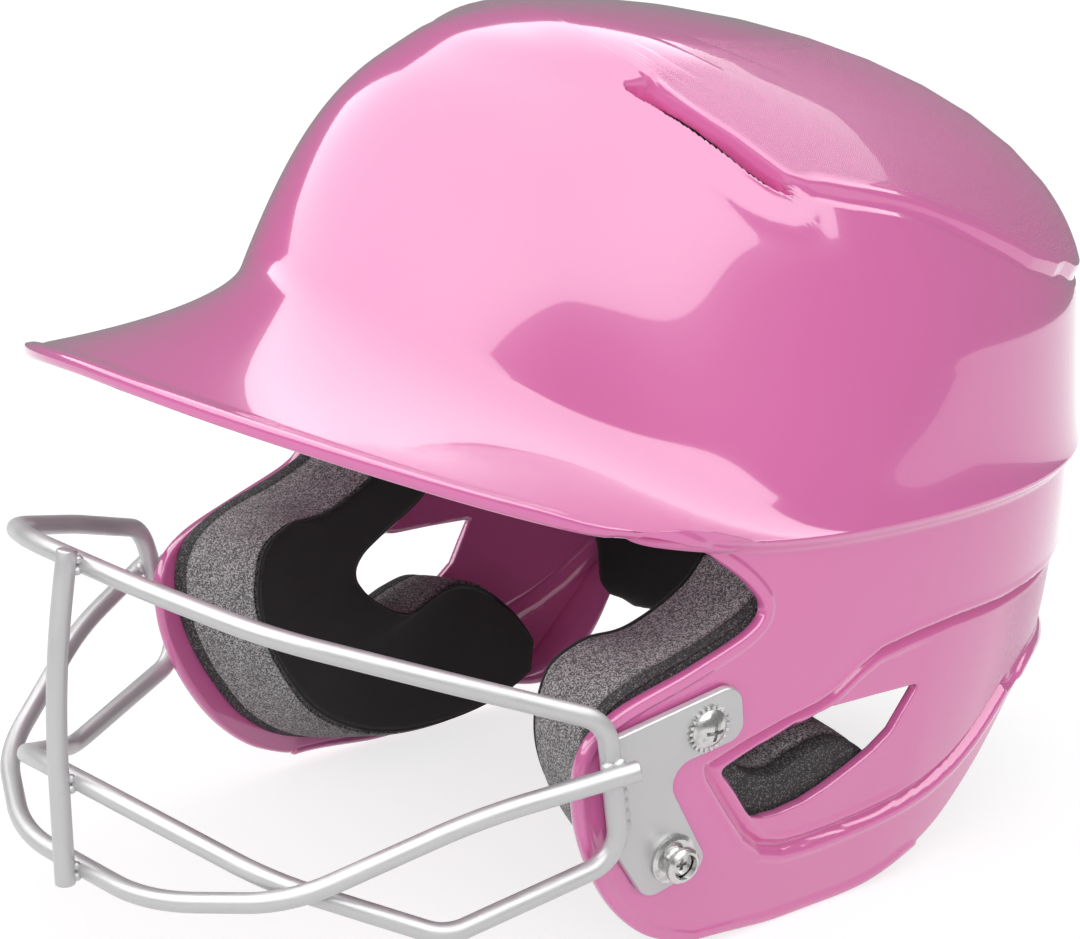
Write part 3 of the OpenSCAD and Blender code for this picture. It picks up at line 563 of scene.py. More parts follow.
def outline_of(faces: Sequence[tuple[int, ...]]) -> Array:
    """Every pair of neighbouring vertices round the faces, in their sense."""
    return np.array([(a, b) for f in faces for a, b in zip(f, f[1:] + f[:1])])


def loops_of(faces: Sequence[tuple[int, ...]]) -> list[list[int]]:
    """Free edges of an open sheet, chained into closed loops.

    Args:
        faces: faces of the sheet, all wound the same way.

    Returns:
        Lists of vertices, each in the sense of its faces.
    """
    edges = dict.fromkeys(map(tuple, outline_of(faces).tolist()))
    follow = {a: b for (a, b) in edges if (b, a) not in edges}
    out = []
    while follow:
        start, nxt = next(iter(follow.items()))
        loop = [start]
        del follow[start]
        while nxt != start and nxt in follow:
            loop.append(nxt)
            nxt = follow.pop(nxt)
        out.append(loop)
    return out


def vertex_normals(points: Array, faces: Sequence[tuple[int, ...]]) -> Array:
    """Area weighted vertex normals of a mesh of triangles and quads.

    Args:
        points: its vertices.
        faces: its faces.

    Returns:
        A normal for each vertex.
    """
    out = np.zeros_like(points)
    quads = np.array([f if len(f) == 4 else (f[0], f[1], f[2], f[2]) for f in faces])
    n = np.cross(points[quads[:, 2]] - points[quads[:, 0]], points[quads[:, 3]] - points[quads[:, 1]])
    tri = quads[:, 2] == quads[:, 3]
    first = points[quads[tri, 0]]
    n[tri] = np.cross(points[quads[tri, 1]] - first, points[quads[tri, 2]] - first)
    for k in range(4):
        np.add.at(out, quads[:, k], n)
    return unit(out)


def smoothed(values: Array, faces: Sequence[tuple[int, ...]], rounds: int) -> Array:
    """Values at the vertices, averaged with those of their neighbours a number of times.

    Args:
        values: a row for each vertex.
        faces: the faces that make them neighbours.
        rounds: how many times.

    Returns:
        The new values.
    """
    pairs = outline_of(faces)
    count = np.ones(len(values))
    np.add.at(count, pairs[:, 0], 1)
    np.add.at(count, pairs[:, 1], 1)
    for _ in range(rounds):
        total = values.copy()
        np.add.at(total, pairs[:, 0], values[pairs[:, 1]])
        np.add.at(total, pairs[:, 1], values[pairs[:, 0]])
        values = total / count[:, None]
    return values


def cut_sheet(points: Array, faces: list[tuple[int, ...]], distance: Array, *carried: Array
              ) -> tuple[Array, list[tuple[int, ...]], list[Array]]:
    """Cuts an open sheet along the line where a distance is zero, and keeps the positive side.

    Args:
        points: vertices of the sheet.
        faces: its quads and triangles.
        distance: signed distance at each vertex, negative in the hole.
        carried: further values at the vertices, which are cut alike.

    Returns:
        The new points, faces and carried values.
    """
    points, distance, carried = points.copy(), distance.copy(), [c.copy() for c in carried]
    pairs = np.unique(np.sort(outline_of(faces), axis=1), axis=0)
    da, db = distance[pairs[:, 0]], distance[pairs[:, 1]]
    cross = pairs[da * db < 0]
    best = {}
    for a, b in cross:
        t = distance[a] / (distance[a] - distance[b])
        v, share = (a, t) if t < 0.5 else (b, 1 - t)
        if v not in best or share < best[v][0]:
            best[v] = (share, a, b, t)
    moved = {v: (lerp(points[a], points[b], t), [lerp(c[a], c[b], t) for c in carried])
             for v, (_, a, b, t) in best.items()}
    for v, (p, rest) in moved.items():
        points[v] = p
        distance[v] = 0.0
        for c, value in zip(carried, rest):
            c[v] = value
    kept = []
    for f in faces:
        d = [distance[i] for i in f]
        if min(d) >= 0 and max(d) > 0:
            kept.append(f)
        elif max(d) > 0 and len(f) == 4:
            for k in range(4):
                tri = (f[k - 1], f[k], f[(k + 1) % 4])
                if distance[f[k]] > 0 and distance[tri[0]] == 0 and distance[tri[2]] == 0:
                    kept.append(tri)
    used = sorted({i for f in kept for i in f})
    place = {v: k for k, v in enumerate(used)}
    return points[used], [tuple(place[i] for i in f) for f in kept], [c[used] for c in carried]


# Shader building

Number = Union[float, "Value"]


class Value:
    """A number socket that takes part in Python arithmetic."""

    def __init__(self, shader: "Shader", socket: bpy.types.NodeSocket) -> None:
        """Wraps a socket of a shader."""
        self.shader = shader
        self.socket = socket

    def maths(self, operation: str, *others: Number) -> "Value":
        """Adds a Math node on this value and others."""
        inputs = {k + 1: o for k, o in enumerate(others)}
        inputs[0] = self
        return self.shader.value("ShaderNodeMath", {"operation": operation}, inputs)

    def __add__(self, other: Number) -> "Value":
        """Sum."""
        return self.maths("ADD", other)

    __radd__ = __add__

    def __rsub__(self, other: Number) -> "Value":
        """Difference with this value taken away."""
        return self.maths("MULTIPLY", -1.0) + other

    def __mul__(self, other: Number) -> "Value":
        """Product."""
        return self.maths("MULTIPLY", other)

    __rmul__ = __mul__

    def step(self, low: float, high: float, to: tuple[float, float] = (0.0, 1.0)) -> "Value":
        """Smooth step between two levels, to given end values."""
        return self.shader.value("ShaderNodeMapRange", {"interpolation_type": "SMOOTHSTEP"},
                                 {0: self, 1: low, 2: high, 3: to[0], 4: to[1]})


Colour = tuple[float, float, float, float]
Tint = Union[Colour, bpy.types.NodeSocket]


class Shader:
    """The nodes of one material or world."""

    def __init__(self, owner: Union[bpy.types.Material, bpy.types.World]) -> None:
        """Clears the nodes of a material or world."""
        self.owner = owner
        owner.use_nodes = True
        self.tree = owner.node_tree
        self.tree.nodes.clear()

    @classmethod
    def named(cls, name: str) -> "Shader":
        """Starts a new material."""
        return cls(bpy.data.materials.new(name))

    def node(self, kind: str, settings: Optional[dict] = None, inputs: Optional[dict] = None
             ) -> bpy.types.Node:
        """Adds a node.

        Args:
            kind: the node's type.
            settings: properties, set first; "stops" holds a ramp's pairs of place and colour.
            inputs: values, sockets or Values for its inputs, by name or number.

        Returns:
            The node.
        """
        made = self.tree.nodes.new(kind)
        for key, setting in (settings or {}).items():
            if key == "stops":
                ramp = made.color_ramp.elements
                while len(ramp) > 1:
                    ramp.remove(ramp[-1])
                ramp[0].position, ramp[0].color = setting[0]
                for place, colour in setting[1:]:
                    ramp.new(place).color = colour
            else:
                setattr(made, key, setting)
        for key, given in (inputs or {}).items():
            if isinstance(given, Value):
                self.tree.links.new(given.socket, made.inputs[key])
            elif isinstance(given, bpy.types.NodeSocket):
                self.tree.links.new(given, made.inputs[key])
            else:
                made.inputs[key].default_value = given
        return made

    def value(self, kind: str, settings: Optional[dict] = None, inputs: Optional[dict] = None,
              output: Union[int, str] = 0) -> Value:
        """Adds a node and gives one of its outputs as a number."""
        return Value(self, self.node(kind, settings, inputs).outputs[output])

    def mix(self, factor: Number, a: Tint, b: Tint) -> bpy.types.NodeSocket:
        """Mixes two colours."""
        return self.node("ShaderNodeMix", {"data_type": "RGBA"}, {0: factor, 6: a, 7: b}).outputs[2]

    def place(self) -> bpy.types.NodeSocket:
        """Object coordinates, in metres."""
        return self.node("ShaderNodeTexCoord").outputs["Object"]

    def noise(self, scale: float, detail: float = 2.0, roughness: float = 0.5) -> Value:
        """Noise with a number of cells to the metre."""
        inputs = {"Vector": self.place(), "Scale": scale, "Detail": detail, "Roughness": roughness}
        return self.value("ShaderNodeTexNoise", None, inputs, "Fac")

    def parts(self, vector: bpy.types.NodeSocket) -> list[Value]:
        """The three numbers of a vector."""
        split = self.node("ShaderNodeSeparateXYZ", None, {0: vector})
        return [Value(self, out) for out in split.outputs]

    def seen_bright(self) -> Value:
        """1 for rays from the camera, off gloss and through glass, otherwise 0.

        Returns:
            The number, as a Value.
        """
        path = self.node("ShaderNodeLightPath")
        rays = [Value(self, path.outputs[f"Is {kind} Ray"]) for kind in ("Camera", "Glossy", "Transmission")]
        return rays[0].maths("MAXIMUM", rays[1]).maths("MAXIMUM", rays[2])

    def bump(self, height: Value, distance: float, strength: float = 1.0,
             normal: Optional[bpy.types.NodeSocket] = None) -> bpy.types.NodeSocket:
        """Adds a Bump node for a height map.

        Args:
            height: height, from 0 to 1.
            distance: what 1 stands for, in millimetres.
            strength: how much of it shows.
            normal: a bump to build on.

        Returns:
            The bumped normal.
        """
        inputs = {"Height": height, "Distance": distance * MM, "Strength": strength}
        if normal is not None:
            inputs["Normal"] = normal
        return self.node("ShaderNodeBump", None, inputs).outputs["Normal"]

    def finish(self, inputs: dict) -> bpy.types.Material:
        """Ends the material in a Principled shader with these inputs."""
        shader = self.node("ShaderNodeBsdfPrincipled", None, inputs)
        return self.surface(shader.outputs[0])

    def surface(self, socket: bpy.types.NodeSocket) -> bpy.types.Material:
        """Ends the material in a shader socket."""
        self.node("ShaderNodeOutputMaterial", None, {"Surface": socket})
        return self.owner


# Finishes

@dataclass(frozen=True)
class GlossPlastic:
    """Moulded pink plastic with a clear gloss, and a fine stipple on its textured panels."""

    colour: Colour = (0.79, 0.175, 0.455, 1.0)
    worn: Colour = (0.81, 0.20, 0.485, 1.0)
    paler: Colour = (1.0, 0.45, 0.68, 1.0)
    roughness: float = 0.16
    ior: float = 1.5
    stipple_pitch: float = 0.8

    def build(self) -> bpy.types.Material:
        """Makes the material, which reads the mesh's stipple mask and its even map in millimetres.

        Returns:
            The material.
        """
        s = Shader.named("gloss_pink_plastic")
        mask = s.value("ShaderNodeAttribute", {"attribute_name": "stipple"}, None, "Fac")
        even = s.node("ShaderNodeUVMap", {"uv_map": "even"}).outputs[0]
        waves = [(part * (2 * math.pi / self.stipple_pitch)).maths("SINE") for part in s.parts(even)[:2]]
        dots = (waves[0] * waves[1]).step(-0.2, 0.75)
        flow = s.noise(9.0, 3.0)
        grain = s.noise(900.0, 2.0)
        colour = s.mix(flow.step(0.35, 0.7) * 0.5, self.colour, self.worn)
        colour = s.mix(mask * 0.10, colour, self.paler)
        scuff = s.noise(160.0, 6.0, 0.7).step(0.62, 0.78) * 0.05
        rough = mask * 0.16 + scuff + self.roughness
        normal = s.bump(flow, 0.25, 0.5)
        normal = s.bump(grain, 0.012, 0.35, normal)
        normal = s.bump(dots * mask, 0.2, 1.0, normal)
        return s.finish({"Base Color": colour, "Roughness": rough, "IOR": self.ior, "Normal": normal,
                         "Coat Weight": 1.0 - mask * 0.5, "Coat Roughness": 0.03, "Coat IOR": self.ior})


@dataclass(frozen=True)
class MaskPaint:
    """Silver powder coat over welded steel wire."""

    colour: Colour = (0.30, 0.30, 0.304, 1.0)
    shade: Colour = (0.25, 0.25, 0.254, 1.0)
    flakes: Colour = (0.62, 0.62, 0.625, 1.0)

    def build(self) -> bpy.types.Material:
        """Makes the material: fine metal flake, a soft orange peel and slightly uneven gloss.

        Returns:
            The material.
        """
        s = Shader.named("silver_mask_paint")
        flake = s.value("ShaderNodeTexVoronoi", None, {"Vector": s.place(), "Scale": 5200.0}, "Distance")
        cloud = s.noise(70.0, 4.0)
        peel = s.noise(1100.0, 1.5)
        colour = s.mix(cloud.step(0.35, 0.7), self.colour, self.shade)
        colour = s.mix(flake.step(0.0, 0.5) * 0.12, self.flakes, colour)
        normal = s.bump(peel, 0.03, 0.5)
        rough = cloud.step(0.3, 0.75, (0.34, 0.46))
        return s.finish({"Base Color": colour, "Metallic": 0.35, "Roughness": rough, "Coat Weight": 0.15,
                         "Coat Roughness": 0.2, "Normal": normal})


@dataclass(frozen=True)
class PlatedSteel:
    """Bright zinc or nickel plating on the screws, studs and washers."""

    colour: Colour = (0.62, 0.62, 0.61, 1.0)
    dull: Colour = (0.46, 0.46, 0.455, 1.0)
    roughness: float = 0.2

    def build(self) -> bpy.types.Material:
        """Makes the material: faint turning marks and small scuffs.

        Returns:
            The material.
        """
        s = Shader.named("plated_steel")
        marks = s.value("ShaderNodeTexWave", {"wave_type": "RINGS", "rings_direction": "SPHERICAL"},
                        {"Vector": s.place(), "Scale": 900.0, "Distortion": 4.0, "Detail": 2.0}, "Fac")
        cloud = s.noise(420.0, 4.0)
        colour = s.mix(cloud.step(0.4, 0.7), self.colour, self.dull)
        rough = cloud.step(0.35, 0.7, (self.roughness, self.roughness + 0.16))
        return s.finish({"Base Color": colour, "Metallic": 1.0, "Roughness": rough,
                         "Normal": s.bump(marks * 0.5 + cloud * 0.5, 0.012, 0.4)})


@dataclass(frozen=True)
class SpeckledFoam:
    """Cut face of closed-cell foam: grey crumb with pale and dark specks."""

    base: Colour = (0.07, 0.07, 0.071, 1.0)
    pale: Colour = (0.80, 0.80, 0.795, 1.0)
    rare: float = 0.25

    def build(self, name: str = "speckled_foam") -> bpy.types.Material:
        """Makes the material: cells of about half a millimetre in two sizes.

        Args:
            name: the material's name.

        Returns:
            The material.
        """
        s = Shader.named(name)
        cells = s.node("ShaderNodeTexVoronoi", None, {"Vector": s.place(), "Scale": 3000.0})
        tone = s.value("ShaderNodeSeparateColor", None, {0: cells.outputs["Color"]}, 0)
        fine = s.noise(5200.0, 2.0, 0.7)
        cloud = s.noise(120.0, 3.0)
        colour = s.mix(tone.step(self.rare, 1.0) * 0.75 + fine.step(0.45, 0.75) * 0.25, self.base, self.pale)
        colour = s.mix(cloud.step(0.3, 0.8) * 0.2, colour, self.base)
        height = Value(s, cells.outputs["Distance"]).step(0.0, 0.6) * 0.7 + fine * 0.3
        return s.finish({"Base Color": colour, "Roughness": 0.85, "Normal": s.bump(height, 0.16, 0.6)})


@dataclass(frozen=True)
class BlackFabric:
    """Black brushed knit over foam."""

    colour: Colour = (0.0075, 0.0075, 0.008, 1.0)
    fuzz: Colour = (0.022, 0.022, 0.024, 1.0)
    pitch: float = 0.7

    def build(self) -> bpy.types.Material:
        """Makes the material: a fine knit with loops, fuzz and faint unevenness.

        Returns:
            The material.
        """
        s = Shader.named("black_knit")
        turn = 2 * math.pi / (self.pitch * MM)
        axes = s.parts(s.place())
        across = ((axes[0] + axes[1]) * turn).maths("SINE")
        along = ((axes[2] + axes[1] * 0.35) * turn).maths("SINE")
        knit = (across * along).step(-0.6, 0.8)
        fuzz = s.noise(2600.0, 3.0, 0.7)
        cloud = s.noise(60.0, 3.0)
        pale = knit * 0.35 + fuzz.step(0.4, 0.8) * 0.35 + cloud.step(0.3, 0.8) * 0.2
        colour = s.mix(pale, self.colour, self.fuzz)
        normal = s.bump(knit, 0.07, 0.5)
        normal = s.bump(fuzz, 0.05, 0.5, normal)
        return s.finish({"Base Color": colour, "Roughness": 0.92, "Sheen Weight": 0.12,
                         "Sheen Roughness": 0.6, "Normal": normal})


@dataclass(frozen=True)
class Finishes:
    """All finishes of the helmet."""

    gloss: bpy.types.Material
    mask: bpy.types.Material
    steel: bpy.types.Material
    foam: bpy.types.Material
    fabric: bpy.types.Material
    # Backing finish: near-black, partly painted shade from the shell's rim.
    backing: bpy.types.Material

    @classmethod
    def make(cls) -> "Finishes":
        """Builds every finish once."""
        # Near-black foam with sparse pale specks: partly the backing's own dark colour, partly painted shade
        # for the shade along the shell's rim and behind the ear hole.
        backing = SpeckledFoam((0.018, 0.018, 0.019, 1), (0.3, 0.3, 0.3, 1), 0.72)
        return cls(GlossPlastic().build(), MaskPaint().build(), PlatedSteel().build(), SpeckledFoam().build(),
                   BlackFabric().build(), backing.build("charcoal_backing"))


# Shell

@dataclass
class Shell:
    """The moulded shell: outer skin with its worked edges, inner skin and rounded rims.

    The crown panel, its vents and grooves are drawn by pairs of a plan angle and a share of the dome, and the
    sunk panel round the ear by pairs of a length and a height over the flap's lowest edge.
    """

    form: ShellForm = FORM
    rim_reach: float = 3.2
    rim_rise: float = 0.75
    rim_round: float = 1.1
    rim_fade: tuple[float, float] = (8.0, 18.0)
    edge_steps: int = 7
    edge_bulge: float = 0.9
    hole_bulge: float = 0.55
    long_edge: int = 300
    screw_hole: float = 3.7
    ledge_drop: float = 0.6
    inner_rounds: int = 10
    slot_depth: float = 5.0
    slit: float = 0.7
    band: float = 4.4
    groove: float = 0.5
    curl: tuple = (0.5, 0.5, 12, 15, 2, 0.5, 0.5, 0.5, 0.5)
    curl_turn: tuple[float, float] = (82.0, 12.0)
    curl_rows: int = 10
    crown_edge: tuple = ((83.5, .345), (81.6, .365), (81, .39), (81.6, .42), (83, .455), (85.2, .507),
                         (86.5, .554), (88, .598), (90, .608), (93, .608), (97.8, .63), (108.5, .684),
                         (118.5, .768), (126.5, .838), (133, .872))
    slot_edge: tuple = ((74, .353), (72.3, .372), (73, .392), (75.5, .423), (78.8, .48), (80.8, .53),
                        (82.2, .575), (84.2, .612), (86.8, .63))
    ledge: tuple = ((81, .37), (84, .345), (88, .327), (92, .317), (100, .303), (110, .299), (122, .302),
                    (130, .325), (150, .362), (180, .39))
    sunk_top: tuple = ((-27.5, 56), (-14, 60.3), (-2, 63.3), (10, 65.3), (18, 67.8), (26, 72.6), (34, 76.2),
                       (48, 77.8), (65, 78.5), (88, 77.6), (115, 77.4))
    sunk_low: tuple = ((-26.5, 52), (-21, 44), (-15, 35.8), (-9.4, 28.6), (-2.8, 23.2), (6, 20.4), (14, 19.8),
                       (26, 20), (38.5, 20.9), (52, 22.3), (64, 24.4), (76, 28.2), (87, 33.2), (97, 39),
                       (106, 44))

    def columns(self) -> Array:
        """Plan angles of the columns, all the way round from one end of the lip."""
        left = stations([(self.form.th_open, 0.3), (49.0, 0.45), (64.0, 0.4), (140.0, 0.8), (180.0, 1.0)])
        front = stations([(-self.form.th_open, 1.0), (self.form.th_open, 1.0)])
        return np.concatenate([left, 360 - left[-2::-1], 360 + front[1:-1]])

    def crown_pt(self) -> Array:
        """Top of the dome, as a row of one point."""
        return self.form.dome_pt(np.array([0.0]), np.array([0.0]))

    def edge_f(self, a: Array) -> Array:
        """Share of the dome at which the crown panel ends, at a folded plan angle."""
        drawn = np.array(self.crown_edge)[2:]
        return np.where(a < 133, np.interp(a, drawn[:, 0], drawn[:, 1]),
                        lerp(drawn[-1, 1] + 0 * a, self.form.crown_f(a), ramp(a, 133, 8)))

    def ring_rows(self) -> list[tuple[float, float]]:
        """Rows from the crown to the lip: a share between two guides, and a share of the flare."""
        lines = stations([(0.0, 0.1), (1.0, 0.02), (2.0, 0.055), (3.0, 1)])[1:]
        flare = stations([(0.0, 0.04), (0.8, 0.02), (1.0, 1)])[1:]
        return [(u, 0.0) for u in lines] + [(3.0, t) for t in flare]

    def row_f(self, u: float, th: Array) -> Array:
        """Share of the dome on a row: rows lie close together round the edge of the crown panel."""
        a = fold(th)
        guide = lerp(0.49 + 0 * a, self.edge_f(np.maximum(a, 81.0)), ramp(a, 76, 20))
        low, high = guide - 0.15, np.minimum(guide + 0.14, 0.965)
        return np.where(u < 1, low * u, np.where(u < 2, lerp(low, high, u - 1), lerp(high, 1.0, u - 2)))

    def crown_lines(self) -> tuple[Array, Array, Array]:
        """Edge of the crown panel, lower edge of the vent and the vent's slit, as lines on the left side.

        Returns:
            The three lines.
        """
        g = self.form
        tail = np.arange(134.0, 180.5, 2.0)
        edge = np.vstack([np.array(self.crown_edge), np.stack([tail, self.edge_f(tail)], 1)])
        slot = np.array(self.slot_edge)
        edge_pts, slot_pts = g.dome_pt(edge[:, 0], edge[:, 1]), g.dome_pt(slot[:, 0], slot[:, 1])
        near = np.array([edge_pts[:8][np.argmin(np.linalg.norm(edge_pts[:8] - q, axis=1))] for q in slot_pts])
        return edge_pts, slot_pts, (slot_pts + unit(near - slot_pts) * 0.9)[2:8]

    def crown_relief(self, th: Array, f: Array, p: Array) -> tuple[Array, Array]:
        """Rise over the bare dome: raised crown panel, its ledge, vent and groove.

        Args:
            th: plan angles.
            f: shares of the dome.
            p: points of the bare dome.

        Returns:
            The rise and how far each point is in the textured panel.
        """
        g, a, q = self.form, fold(th), one_side(p)
        edge, slot, _ = self.crown_lines()
        far = to_line(q, edge)
        inside = (f < self.edge_f(a)) & (a > 81)
        s = far * (1 - 2 * ramp(a, 79.5, 3.2) * (f < self.edge_f(np.maximum(a, 81.0))))
        seam = to_line(q, np.vstack([self.crown_pt(), edge]))
        out = np.where(inside, 0.0, np.minimum(seam, far))
        hard = ease((0.8 - s) / 1.5)
        front = g.panel_rise * lerp(hard, 1 - ease(out / 60), ease((0.375 - f) / (0.06 + 0.0045 * out)))
        wall = lerp(g.panel_rise, -self.groove, ease(s / self.band))
        rear = np.where(s < 0, g.panel_rise,
                        np.where(s < self.band, wall, -self.groove * (1 - ramp(s, self.band, 1.4))))
        ledge = np.array(self.ledge)
        past = (f - np.interp(a, ledge[:, 0], ledge[:, 1])) * 150
        panel = ease(past / 1.4) * ramp(a, 80, 4) * (s < 1)
        lift = lerp(front, rear, ramp(a, 88.5, 4))
        lift = lift - self.ledge_drop * panel * (1 - ramp(a, 115, 25)) * ramp(a, 82, 3) * hard
        in_slot = within(np.stack([a, f], 1), np.vstack([self.slot_edge, self.crown_edge[7::-1]]))
        lift = lift - self.slot_depth * ease(to_line(q, np.vstack([slot[:1], edge[:8]])) / 4.0) * in_slot
        to_slot, beside = to_line(q, slot), ~in_slot & (s > 2)
        roll = bump_at(to_slot, 7.5, 2.6) * (1 - ramp(a, 86, 4)) + bump_at(to_slot, 0.0, 1.2)
        return lift + 0.3 * roll * beside, panel * ease((-s - 1.2) / 1.6) * ramp(a, 82, 3)

    def side_lines(self) -> tuple[Array, Array]:
        """Outline of the sunk ear panel, on a chart and in space.

        Returns:
            Pairs of a folded plan angle and a height, and the line in space.
        """
        g = self.form
        top, low = np.array(self.sunk_top), np.array(self.sunk_low)
        top_a = np.stack([g.th_at(top[:, 0], top[:, 1] + g.flap_z), top[:, 1]], 1)
        low_a = np.stack([g.th_at(low[:, 0], low[:, 1] + g.flap_z), low[:, 1]], 1)
        tail = np.arange(148.0, 181.0, 4.0)
        top_a = np.vstack([top_a, np.stack([tail, 77.5 + (tail - 140) * 0.13], 1)])
        low_a = np.vstack([low_a, [[150, 44], [182, 44]]])
        drawn = np.vstack([low_a[:-2][::-1], top_a])
        return np.vstack([top_a, low_a[::-1]]), g.side_pt(drawn[:, 0], drawn[:, 1] + g.flap_z)

    def side_relief(self, a: Array, z: Array, p: Array) -> tuple[Array, Array]:
        """Rise over the bare side: the sunk panel round the ear with its ridge and inner frame.

        Args:
            a: folded plan angles.
            z: heights.
            p: points of the bare side.

        Returns:
            The rise and how far each point is in the stippled rear.
        """
        g = self.form
        chart, line = self.side_lines()
        far = to_line(one_side(p), line)
        inside = within(np.stack([a, z - g.flap_z], 1), chart)
        sunk = (1.7 * ramp(far, 1.6, 2.8) - g.ear_sink * 1.4 * ease(far / 1.6)) * inside
        frame = -0.5 * ramp(far, 5.2, 1.0) * inside * (1 - ramp(a, 96, 8))
        ridge = 0.35 * bump_at(far, 1.2, 0.9) * (~inside)
        lift = (sunk + frame + ridge) * ease((z - g.bottom_z(a)) / 2 + (a < 110))
        stipple = inside * ramp(far, 3, 3) * ramp(a, 116, 14)
        return lift, stipple * (1 - ease((3.5 - (z - g.bottom_z(a))) / 2))

    def side_grid(self, th0: Array, rows: int = 168) -> tuple[Array, Array]:
        """Plan angles and heights of the side panel's grid, rows by columns.

        Args:
            th0: plan angles of the columns at the crease.
            rows: how many rows.

        Returns:
            The angles and the heights.
        """
        g = self.form
        t = (np.arange(rows) + 1)[:, None] / rows
        s = ((fold(th0) - g.th_open) / (180 - g.th_open))[None, :]
        a = lerp(g.edge_th(t[:, 0])[:, None], 180.0, s)
        z = lerp(g.lip_z(a), g.bottom_z(a), t)
        return a, lerp(g.edge_z(t[:, 0])[:, None] + 0 * a, z, ease(s * 7))

    def curled(self, a: Array, edge: Array, n: Array) -> Array:
        """Rows that carry the lower edge on, curled in under the rear of the flap.

        Args:
            a: folded plan angles along the lower edge.
            edge: its points.
            n: the outward normals there.

        Returns:
            Points, rows by columns.
        """
        reach = np.maximum(pick(self.curl, (a - 96) / 72), 0.5)[:, None] / self.curl_rows
        flat = unit(n * [1, 1, 0])
        rows, p = [], edge
        for k in range(self.curl_rows):
            turn = math.radians(lerp(*self.curl_turn, float(ease(k / self.curl_rows))))
            p = p + (-flat * math.sin(turn) - np.array([0, 0, math.cos(turn)])) * reach
            rows.append(p)
        return np.stack(rows)

    def sheet(self) -> tuple[Array, list[tuple[int, ...]], Array, Array]:
        """The outer skin before its holes are cut.

        Returns:
            Lifted points, faces, bare points with their rise in a fourth column, and the stipple mask.
        """
        g = self.form
        cols = self.columns()
        th = cols % 360.0
        n_ring = len(th)
        n_side = int(np.sum(cols <= 360 - g.th_open + 1e-6))
        rows = self.ring_rows()
        f = np.stack([self.row_f(u, th) for u, _ in rows])
        ring = np.stack([g.dome_pt(th, f[k]) if t == 0 else g.flare_pt(th, t + 0 * th)
                         for k, (_, t) in enumerate(rows)])
        n = unit(np.cross(np.gradient(ring, axis=0), np.roll(ring, -1, 1) - np.roll(ring, 1, 1)))
        n *= np.sign(np.sum(n * (ring - np.array([0, g.mid_y, 90])), -1, keepdims=True))
        on_dome = np.array([t == 0 for _, t in rows])[:, None] & np.ones(n_ring, bool)
        lift, mask = self.crown_relief(np.tile(th, len(rows)), f.ravel(), ring.reshape(-1, 3))
        lift, mask = lift * on_dome.ravel(), mask * on_dome.ravel()
        a, z = self.side_grid(th[:n_side])
        side_th = np.where(th[:n_side] > 180, 360 - a, a)
        side, side_n = g.side_pt(side_th, z), g.side_n(side_th, z)
        side_lift, side_mask = self.side_relief(a.ravel(), z.ravel(), side.reshape(-1, 3))
        tail = self.curled(a[-1], side[-1], side_n[-1])
        side = np.vstack([side, tail]).reshape(-1, 3)
        side_n = np.vstack([side_n, np.repeat(side_n[-1:], len(tail), 0)]).reshape(-1, 3)
        plain = np.zeros(len(side) - len(side_lift))
        base = np.vstack([self.crown_pt(), ring.reshape(-1, 3), side])
        normal = np.vstack([[[0, 0, 1.0]], n.reshape(-1, 3), side_n])
        lift = np.concatenate([[g.panel_rise], lift, side_lift, plain])
        mask = np.concatenate([[0.0], mask, side_mask, plain])
        ring_ids = 1 + np.arange(len(rows) * n_ring).reshape(-1, n_ring)
        ring_ids = np.hstack([ring_ids, ring_ids[:, :1]])
        side_ids = np.arange(1 + len(rows) * n_ring, len(base)).reshape(-1, n_side)
        faces = [(0, int(a), int(b)) for a, b in zip(ring_ids[0, :-1], ring_ids[0, 1:])]
        faces += grid_faces(ring_ids) + grid_faces(np.vstack([ring_ids[-1:, :n_side], side_ids]))
        bare = np.hstack([base, lift[:, None]])
        return base + normal * lift[:, None], faces, bare, mask

    def hole_distance(self, bare: Array) -> Array:
        """Signed distance to the nearest hole, negative inside: ear holes, crown vents and screw holes.

        Args:
            bare: points of the bare shell.

        Returns:
            The distances.
        """
        q = one_side(bare)
        hole = np.array(self.form.ear_hole) + [0, self.form.flap_z]
        near = to_line(q[:, 1:], np.vstack([hole, hole[:1]]))
        ear = np.where(within(q[:, 1:], hole), -near, near)
        ear = np.where((q[:, 2] < 90) & (q[:, 0] > 60), ear, 50.0)
        vent = to_line(q, self.crown_lines()[2]) - self.slit
        o, x, v, _ = PLATE.axes()
        d = q - o
        screws = np.minimum(*[np.hypot(d @ x - c[0], d @ v - c[1]) for c in (PLATE.screw, PLATE.stud)])
        screws = np.where((q[:, 2] < 95) & (q[:, 1] < 0), screws - self.screw_hole, 50.0)
        return np.minimum(np.minimum(ear, vent), screws)

    def rolled(self, outer: Array, normals: Array, free: Sequence[int]) -> Array:
        """The outer skin with its rim rolled up along the free edge.

        Args:
            outer: points of the skin.
            normals: their outward normals.
            free: numbers of the points on the free edge.

        Returns:
            The new points.
        """
        tree = KDTree(len(free))
        for k, i in enumerate(free):
            tree.insert(outer[i], k)
        tree.balance()
        away = np.array([tree.find(p)[2] for p in outer])
        corner = self.form.side_pt(np.array(self.form.th_open), np.array(self.form.edge_z(0.0)))
        from_corner = np.linalg.norm(one_side(outer) - corner, axis=1)
        rise = ease((self.rim_reach - away) / self.rim_round) * ramp(from_corner, *self.rim_fade)
        return outer + normals * (self.rim_rise * rise)[:, None]

